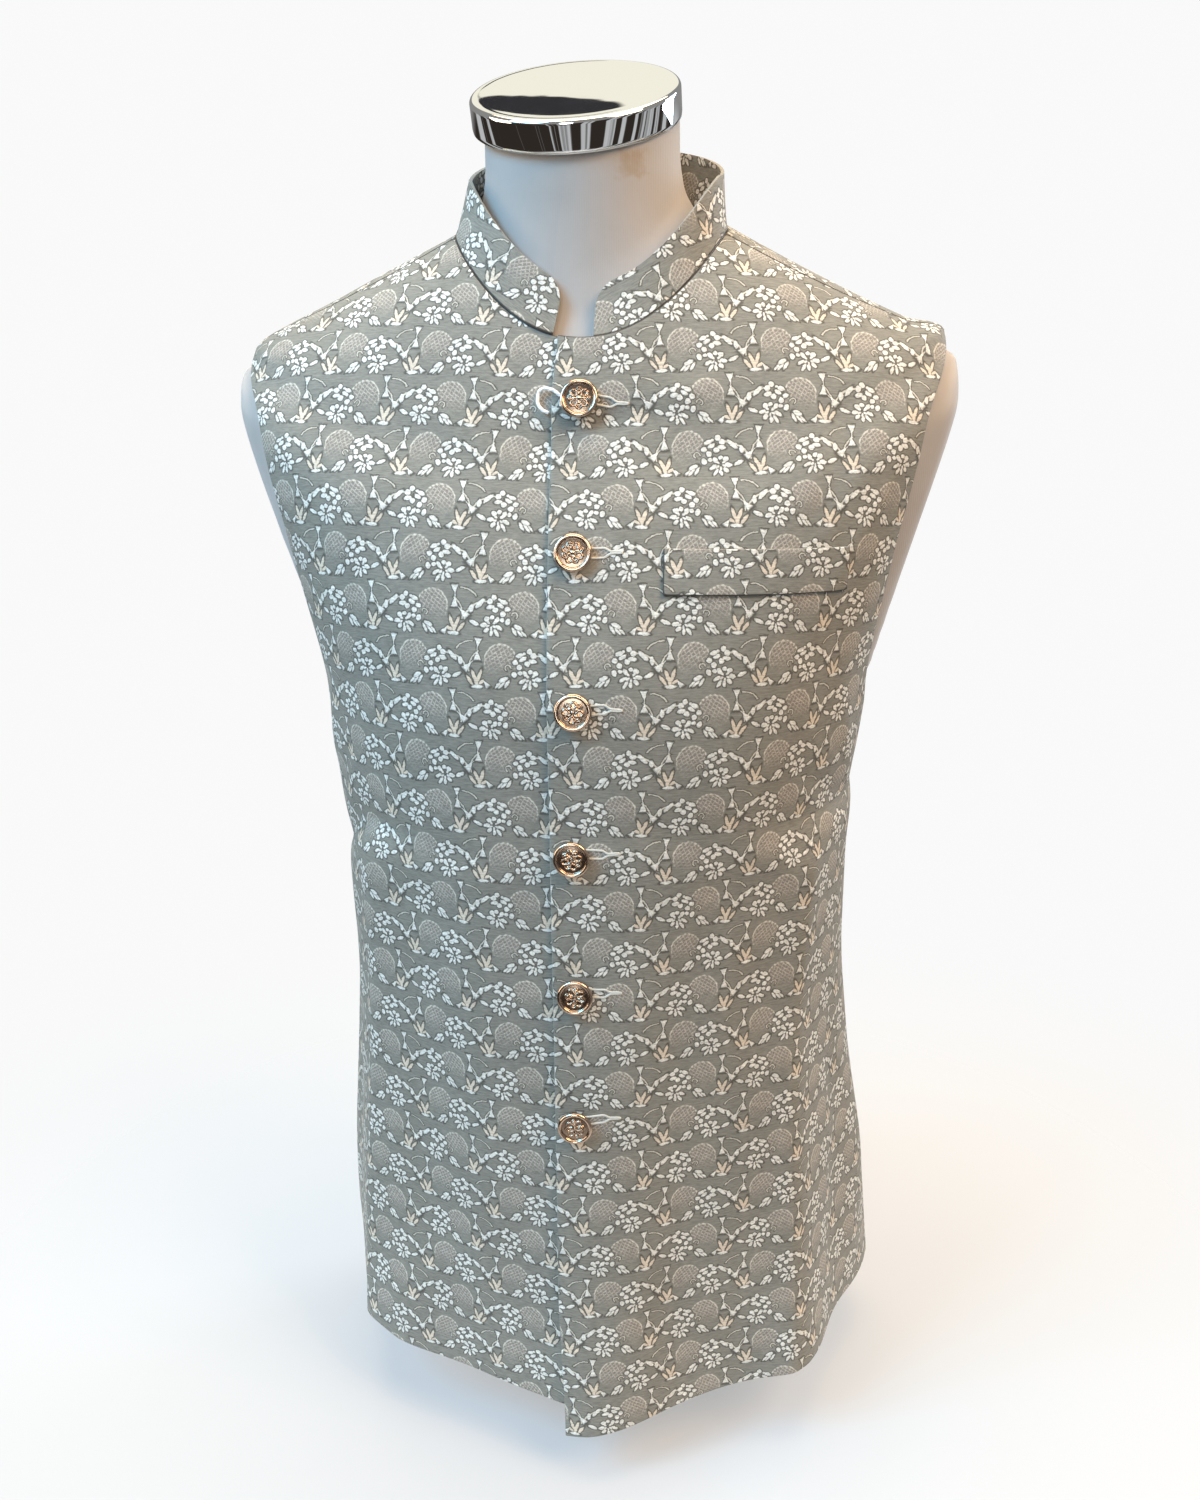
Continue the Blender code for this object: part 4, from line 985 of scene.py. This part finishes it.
def addButton(number, aside, material):
    # a lathe's profile from the middle of the face round the edge to the shank, raised by the ornament
    inside, rimHeight, rimPolish = np.array(ornament["rim"]).T[..., None]
    rim = buttons["radius"] - inside
    angle = np.linspace(0, 2 * math.pi, 132, endpoint=False)
    face = np.linspace(0, 1, 44)[:, None] * (rim[0] - 0.2)      # the face ends 0.2 short of the rim's foot
    share = face / rim[0]
    relief = buttonFace(share, angle + number * ornament["turn"])
    top = ornament["ground"] + ornament["dome"] * (1 - share**2) + ornament["rise"] * relief
    radius = np.concatenate([face, rim])
    height = np.concatenate([top, np.repeat(rimHeight, len(angle), 1)])
    polish = np.concatenate([0.10 + 0.9 * relief, np.repeat(rimPolish, len(angle), 1)])
    place, straight, below = frameOnFront(jacket["buttonLine"] + aside,
                                          buttons["first"] + buttons["gap"] * number)
    tilt = math.radians(buttons["tilt"][number])
    centre = place + straight * buttons["stand"]
    normal = straight * math.cos(tilt) - below * math.sin(tilt)
    down = below * math.cos(tilt) + straight * math.sin(tilt)
    side = np.cross(normal, down)
    points = centre + (radius * np.sin(angle))[..., None] * side - (radius * np.cos(angle))[..., None] * down
    points = points + height[..., None] * normal
    mesh = gridMesh(f"button{number + 1}", points, around=True, relief=polish)
    addPiece(f"button{number + 1}", mesh, material, [f"button_{number + 1}"], merge=True)


brass = brassMaterial()
for number, aside in enumerate(buttons["aside"]):
    addButton(number, aside, brass)
print("buttons turned")

# the dress form and its cap

form = {
    # height, half width, depth to the front, where it is widest, depth to the back, squareness
    "lower": ((0, 122, 65, 8, 84, 2.2), (30, 135, 79, 8, 93, 2.2), (80, 145, 91, 8, 97, 2.2),
              (150, 150, 99, 6, 99, 2.2), (250, 145, 102, 4, 94, 2.2)),
    # row, and how far it lies inside the jacket's outer face
    "upper": (
        (3.2, 18), (3.7, 16), (4.2, 15), (4.6, 13), (5, 11.5), (5.3, 9.5), (5.6, 8), (5.9, 6.5), (6.2, 5.2),
        (6.5, 4.2), (6.75, 3.6), (7, 3.3), (7.2, 3.3), (7.4, 3.3), (7.6, 3.3), (7.8, 3.4), (8, 3.6)),
    "frontRoom": 3.0,           # more room at the front's middle
    "stumpStand": 1.5,          # how far the rounded arm ends stand out of the armholes
    # share of the neck's height, and of the way from the jacket's neck line to the cap's circle
    "neck": ((0, 0), (0.18, 0.6), (0.42, 0.9), (0.7, 0.99), (1, 1)), "neckRadius": 54.8, "neckAside": 2.5,
    "worn": (0.375, 0.345, 0.32, 1), "clean": (0.455, 0.415, 0.39, 1), "stain": (0.36, 0.28, 0.20, 1),
}
cap = {"radius": 58.8, "thick": 17.5, "edge": 2.5, "tilt": 22.0, "lean": 2.0, "top": (-8.5, 1.0, 826.0),
       "plating": (0.90, 0.89, 0.87, 1)}


def capAxes():
    # the cap's own directions across, back and up, as its tilt and lean turn them
    lean = Matrix.Rotation(math.radians(-cap["lean"]), 3, "Y")
    turn = lean @ Matrix.Rotation(math.radians(cap["tilt"]), 3, "X")
    return [np.array(turn.col[k]) for k in range(3)]


def armholeWindow(row, angle):
    # 1 well inside an armhole, 0 at its edge and beyond
    turn = np.abs(turnFrom(angle, 0))
    front, back = (np.degrees(sideEdge(row, jacket[key])) for key in ("frontArmhole", "backArmhole"))
    inside = ramp(turn, front + 4, front + 14) * ramp(-turn, 6 - back, 15 - back)
    return inside * ramp(-row, -6.9, -6.5)


def formMaterial():
    # white knitted cover: small stitches in columns, faint clouds of dirt, and one stain under the cap
    material, n, shader = newMaterial("formFabric", Roughness=0.85, Sheen_Weight=0.25, Sheen_Roughness=0.5)
    place = n.add("TexCoord", output=3)
    clouds = n.calc("MULTIPLY_ADD", n.noise(place, 22.0, 4.0), 1.6, -0.45, clamp=True)
    specks = n.noise(place, 260.0, 2.0)
    colour = n.mix(clouds, form["worn"], form["clean"])
    stain = n.vector("LENGTH", n.place(place, (0.026, -0.055), 0, (0.010, 0.05)), output=1)
    high = n.calc("MULTIPLY_ADD", n.add("SeparateXYZ", (place,), 2), 125.0, -0.7845 * 125.0)
    stain = n.calc("MAXIMUM", stain, n.calc("ABSOLUTE", high))
    stain = n.calc("ADD", stain, n.calc("MULTIPLY_ADD", specks, 0.9, -0.45))
    colour = n.mix(n.calc("MULTIPLY", n.step(stain, 0.35, 1.1), 0.8), colour, form["stain"])
    knit = {"Vector": place, "Scale": 260.0, "Distortion": 1.5, "Detail": 1.0}
    knit = n.add("TexWave", knit, bands_direction="X")
    height = n.calc("ADD", n.calc("MULTIPLY", knit, 0.5), specks)
    n.feed(shader, Base_Color=colour, Normal=n.bump(height, 0.25, 0.0003))
    return material


def addForm():
    # one closed skin: rings of the lower table, then the jacket's own rows from inside, with rounded arm
    # ends let out through the armholes, then neck rings that turn into the cap's circle
    angle = np.radians(np.linspace(0, 360, 181)[:-1])
    levels = np.linspace(0, len(form["lower"]) - 1, 60)
    height, *others = smooth(np.arange(len(form["lower"])), form["lower"], levels).T[..., None]
    lower = ringPoint(height, height, height, *others, angle)
    rowTable, insideTable = np.array(form["upper"]).T
    row = np.linspace(rowTable[0], 8, 150)[:, None]
    inside = smooth(rowTable, insideTable, row)
    inside = inside + form["frontRoom"] * np.exp(-(turnFrom(angle, 0) / 28) ** 2)
    inside = inside - (inside + form["stumpStand"]) * armholeWindow(row, angle)
    upper = plainPoint(row, angle) - outward(row, angle) * inside[..., None]
    upper[..., 2] += jacket["hemHeight"]
    across, back, stand = capAxes()
    middle = np.array(cap["top"]) - stand * (cap["thick"] + 0.4) + across * form["neckAside"]
    top = middle + form["neckRadius"] * (across * np.sin(angle)[:, None] - back * np.cos(angle)[:, None])
    foot = upper[-1]
    ups = np.linspace(0, 1, 26)[1:]
    blend = smooth(*np.array(form["neck"]).T, ups)
    neck = foot + (top - foot) * ups[:, None, None]
    neck[..., :2] = foot[:, :2] + (top - foot)[:, :2] * blend[:, None, None]
    points = np.concatenate([lower, upper, neck])
    mesh = gridMesh("dressForm", points, around=True, capped=True)
    addPiece("dressForm", mesh, formMaterial(), ["dress_form"], merge=True, sharpAbove=50)


def chromeMaterial():
    # mirror plating, very slightly rubbed
    material, n, shader = newMaterial("chrome", Metallic=1.0)
    shader.inputs["Base Color"].default_value = cap["plating"]
    place = n.add("TexCoord", output=3)
    n.feed(shader, Roughness=n.calc("MULTIPLY", n.noise(place, 60.0, 5.0), 0.035),
           Normal=n.bump(n.noise(place, 55.0, 1.0), 0.02, 0.001))
    return material


def addCap():
    # a lathe's profile with rounded corners, tilted forward
    r, edge = cap["radius"], cap["edge"]
    corner = np.radians(np.linspace(90, 0, 9))
    flatTop = np.linspace(0, r - edge, 14)[:-1]
    foot = -cap["thick"]
    profile = np.concatenate([
        np.column_stack([flatTop, 0.9 * (flatTop / r) ** 2 - 0.9]),        # very slightly dished
        np.column_stack([r - edge + edge * np.cos(corner), -edge + edge * np.sin(corner)]),
        [[r, foot + edge], [r - 0.3, foot + 0.6], [r - 1.0, foot], [0, foot]]])
    angle = np.linspace(0, 2 * math.pi, 180, endpoint=False)
    across, back, stand = capAxes()
    ring = np.sin(angle)[:, None] * across - np.cos(angle)[:, None] * back
    points = np.array(cap["top"]) + profile[:, :1, None] * ring + profile[:, 1:, None] * stand
    addPiece("neckCap", gridMesh("neckCap", points, around=True), chromeMaterial(), ["neck_cap"],
             merge=True, sharpAbove=50)


addForm()
addCap()
print("dress form and cap built")

# floor and light

studio = {
    "floor": (0.34, 0.345, 0.35, 1), "floorSize": 0.8, "floorGlow": 0.36,
    # name, place, width, height, watts, colour
    "lights": (
        ("window", (-1.5, -1.2, 2.2), 1.2, 1.2, 72, (0.22, 0.62, 1.0)),
        ("sideWindow", (-2.4, -0.4, 1.1), 1.2, 1.6, 26, (1.0, 0.88, 0.72)),
        ("lamp", (1.5, -1.0, 2.2), 1.2, 1.2, 49, (1.0, 0.69, 0.42)),
        ("ceiling", (0.0, 0.2, 2.6), 1.8, 1.8, 58, (1.0, 0.78, 0.52)),
        ("rim", (1.9, 1.3, 1.3), 1.0, 1.4, 36, (0.62, 0.82, 1.0)),
    ),
    "aim": (0, 0, 0.45), "air": (0.95, 0.95, 0.95, 1),        # air is the pale backdrop
    # what polished metal mirrors: the room above, and dark and pale streaks below
    "above": (0.26, 0.26, 0.26, 1), "dark": (0.030, 0.024, 0.020, 1), "pale": (0.50, 0.52, 0.54, 1),
    # cards that it mirrors: in front or behind, middle x and z of the direction, turn, half sizes, colour
    "cards": (
        (1, -0.10, 0.60, 0, 0.30, 0.14, (0.95, 0.93, 0.80, 1)),
        (1, -0.139, 0.575, -10, 0.043, 0.0125, (0.035, 0.035, 0.04, 1)),
        (-1, -0.11, 0.19, 0, 0.12, 0.31, (5.5, 5.8, 6.0, 1)),
        (-1, -0.11, -0.29, 0, 0.16, 0.16, (0.05, 0.032, 0.022, 1)),
    ),
}


def addSky(settings):
    # dim and even above, dark with upright pale streaks below, and the cards, all seen only in reflections;
    # the backdrop itself is plain and pale
    world = bpy.data.worlds.new("studio")
    bpy.context.scene.world = world
    world.use_nodes = True
    n = Nodes(world.node_tree)
    toward = n.add("TexCoord", output=0)
    split = n.add("SeparateXYZ", (toward,))
    x, y, z = (split.node.outputs[k] for k in range(3))
    around = n.vector("NORMALIZE", n.vector("MULTIPLY", toward, (1, 1, 0)))
    streaks = n.calc("SUBTRACT", 1.0, n.step(n.noise(around, 5.5, 4.0, 0.6), 0.50, 0.60))
    below = n.mix(streaks, settings["dark"], settings["pale"])
    colour = n.mix(n.step(z, -0.02, 0.10), settings["above"], below)
    for side, atX, atZ, turn, wide, tall, shade in settings["cards"]:
        card = n.place(n.add("CombineXYZ", (x, z, 0.0)), (atX, atZ), turn, (wide, tall))
        edge = n.step(n.vector("LENGTH", card, output=1), 0.92, 1.04)
        facing = n.calc("GREATER_THAN", n.calc("MULTIPLY", y, float(side)), 0.0)
        colour = n.mix(n.calc("MULTIPLY", edge, facing), colour, shade)
    colour = n.mix(n.add("LightPath"), colour, settings["air"])
    world.node_tree.links.new(colour, world.node_tree.nodes["Background"].inputs["Color"])


def addStage(settings):
    # a level floor that fades out into the backdrop all round, and the soft lights
    data = bpy.data.meshes.new("floor")
    work = bmesh.new()
    bmesh.ops.create_grid(work, x_segments=1, y_segments=1, size=settings["floorSize"])
    work.to_mesh(data)
    work.free()
    floor = bpy.data.objects.new("floor", data)
    bpy.context.scene.collection.objects.link(floor)
    material, n, shader = newMaterial("paleFloor", Roughness=0.9)
    shader.inputs["Base Color"].default_value = settings["floor"]
    shader.inputs["Emission Color"].default_value = (1, 1, 1, 1)
    shader.inputs["Emission Strength"].default_value = settings["floorGlow"]      # keeps it near white
    away = n.vector("LENGTH", n.vector("MULTIPLY", n.add("TexCoord", output=3), (1, 1, 0)), output=1)
    n.feed(shader, Alpha=n.step(away, 0.2, settings["floorSize"] * 0.98))
    data.materials.append(material)
    for name, place, width, height, watts, colour in settings["lights"]:
        light = bpy.data.lights.new(name, "AREA")
        light.shape = "RECTANGLE"
        light.size = width
        light.size_y = height
        light.energy = watts
        light.color = colour
        item = bpy.data.objects.new(name, light)
        bpy.context.scene.collection.objects.link(item)
        item.location = place
        item.rotation_euler = (Vector(settings["aim"]) - Vector(place)).to_track_quat("-Z", "Y").to_euler()
    bpy.context.scene.view_settings.view_transform = "Standard"


addSky(studio)
addStage(studio)
print("stage lit")
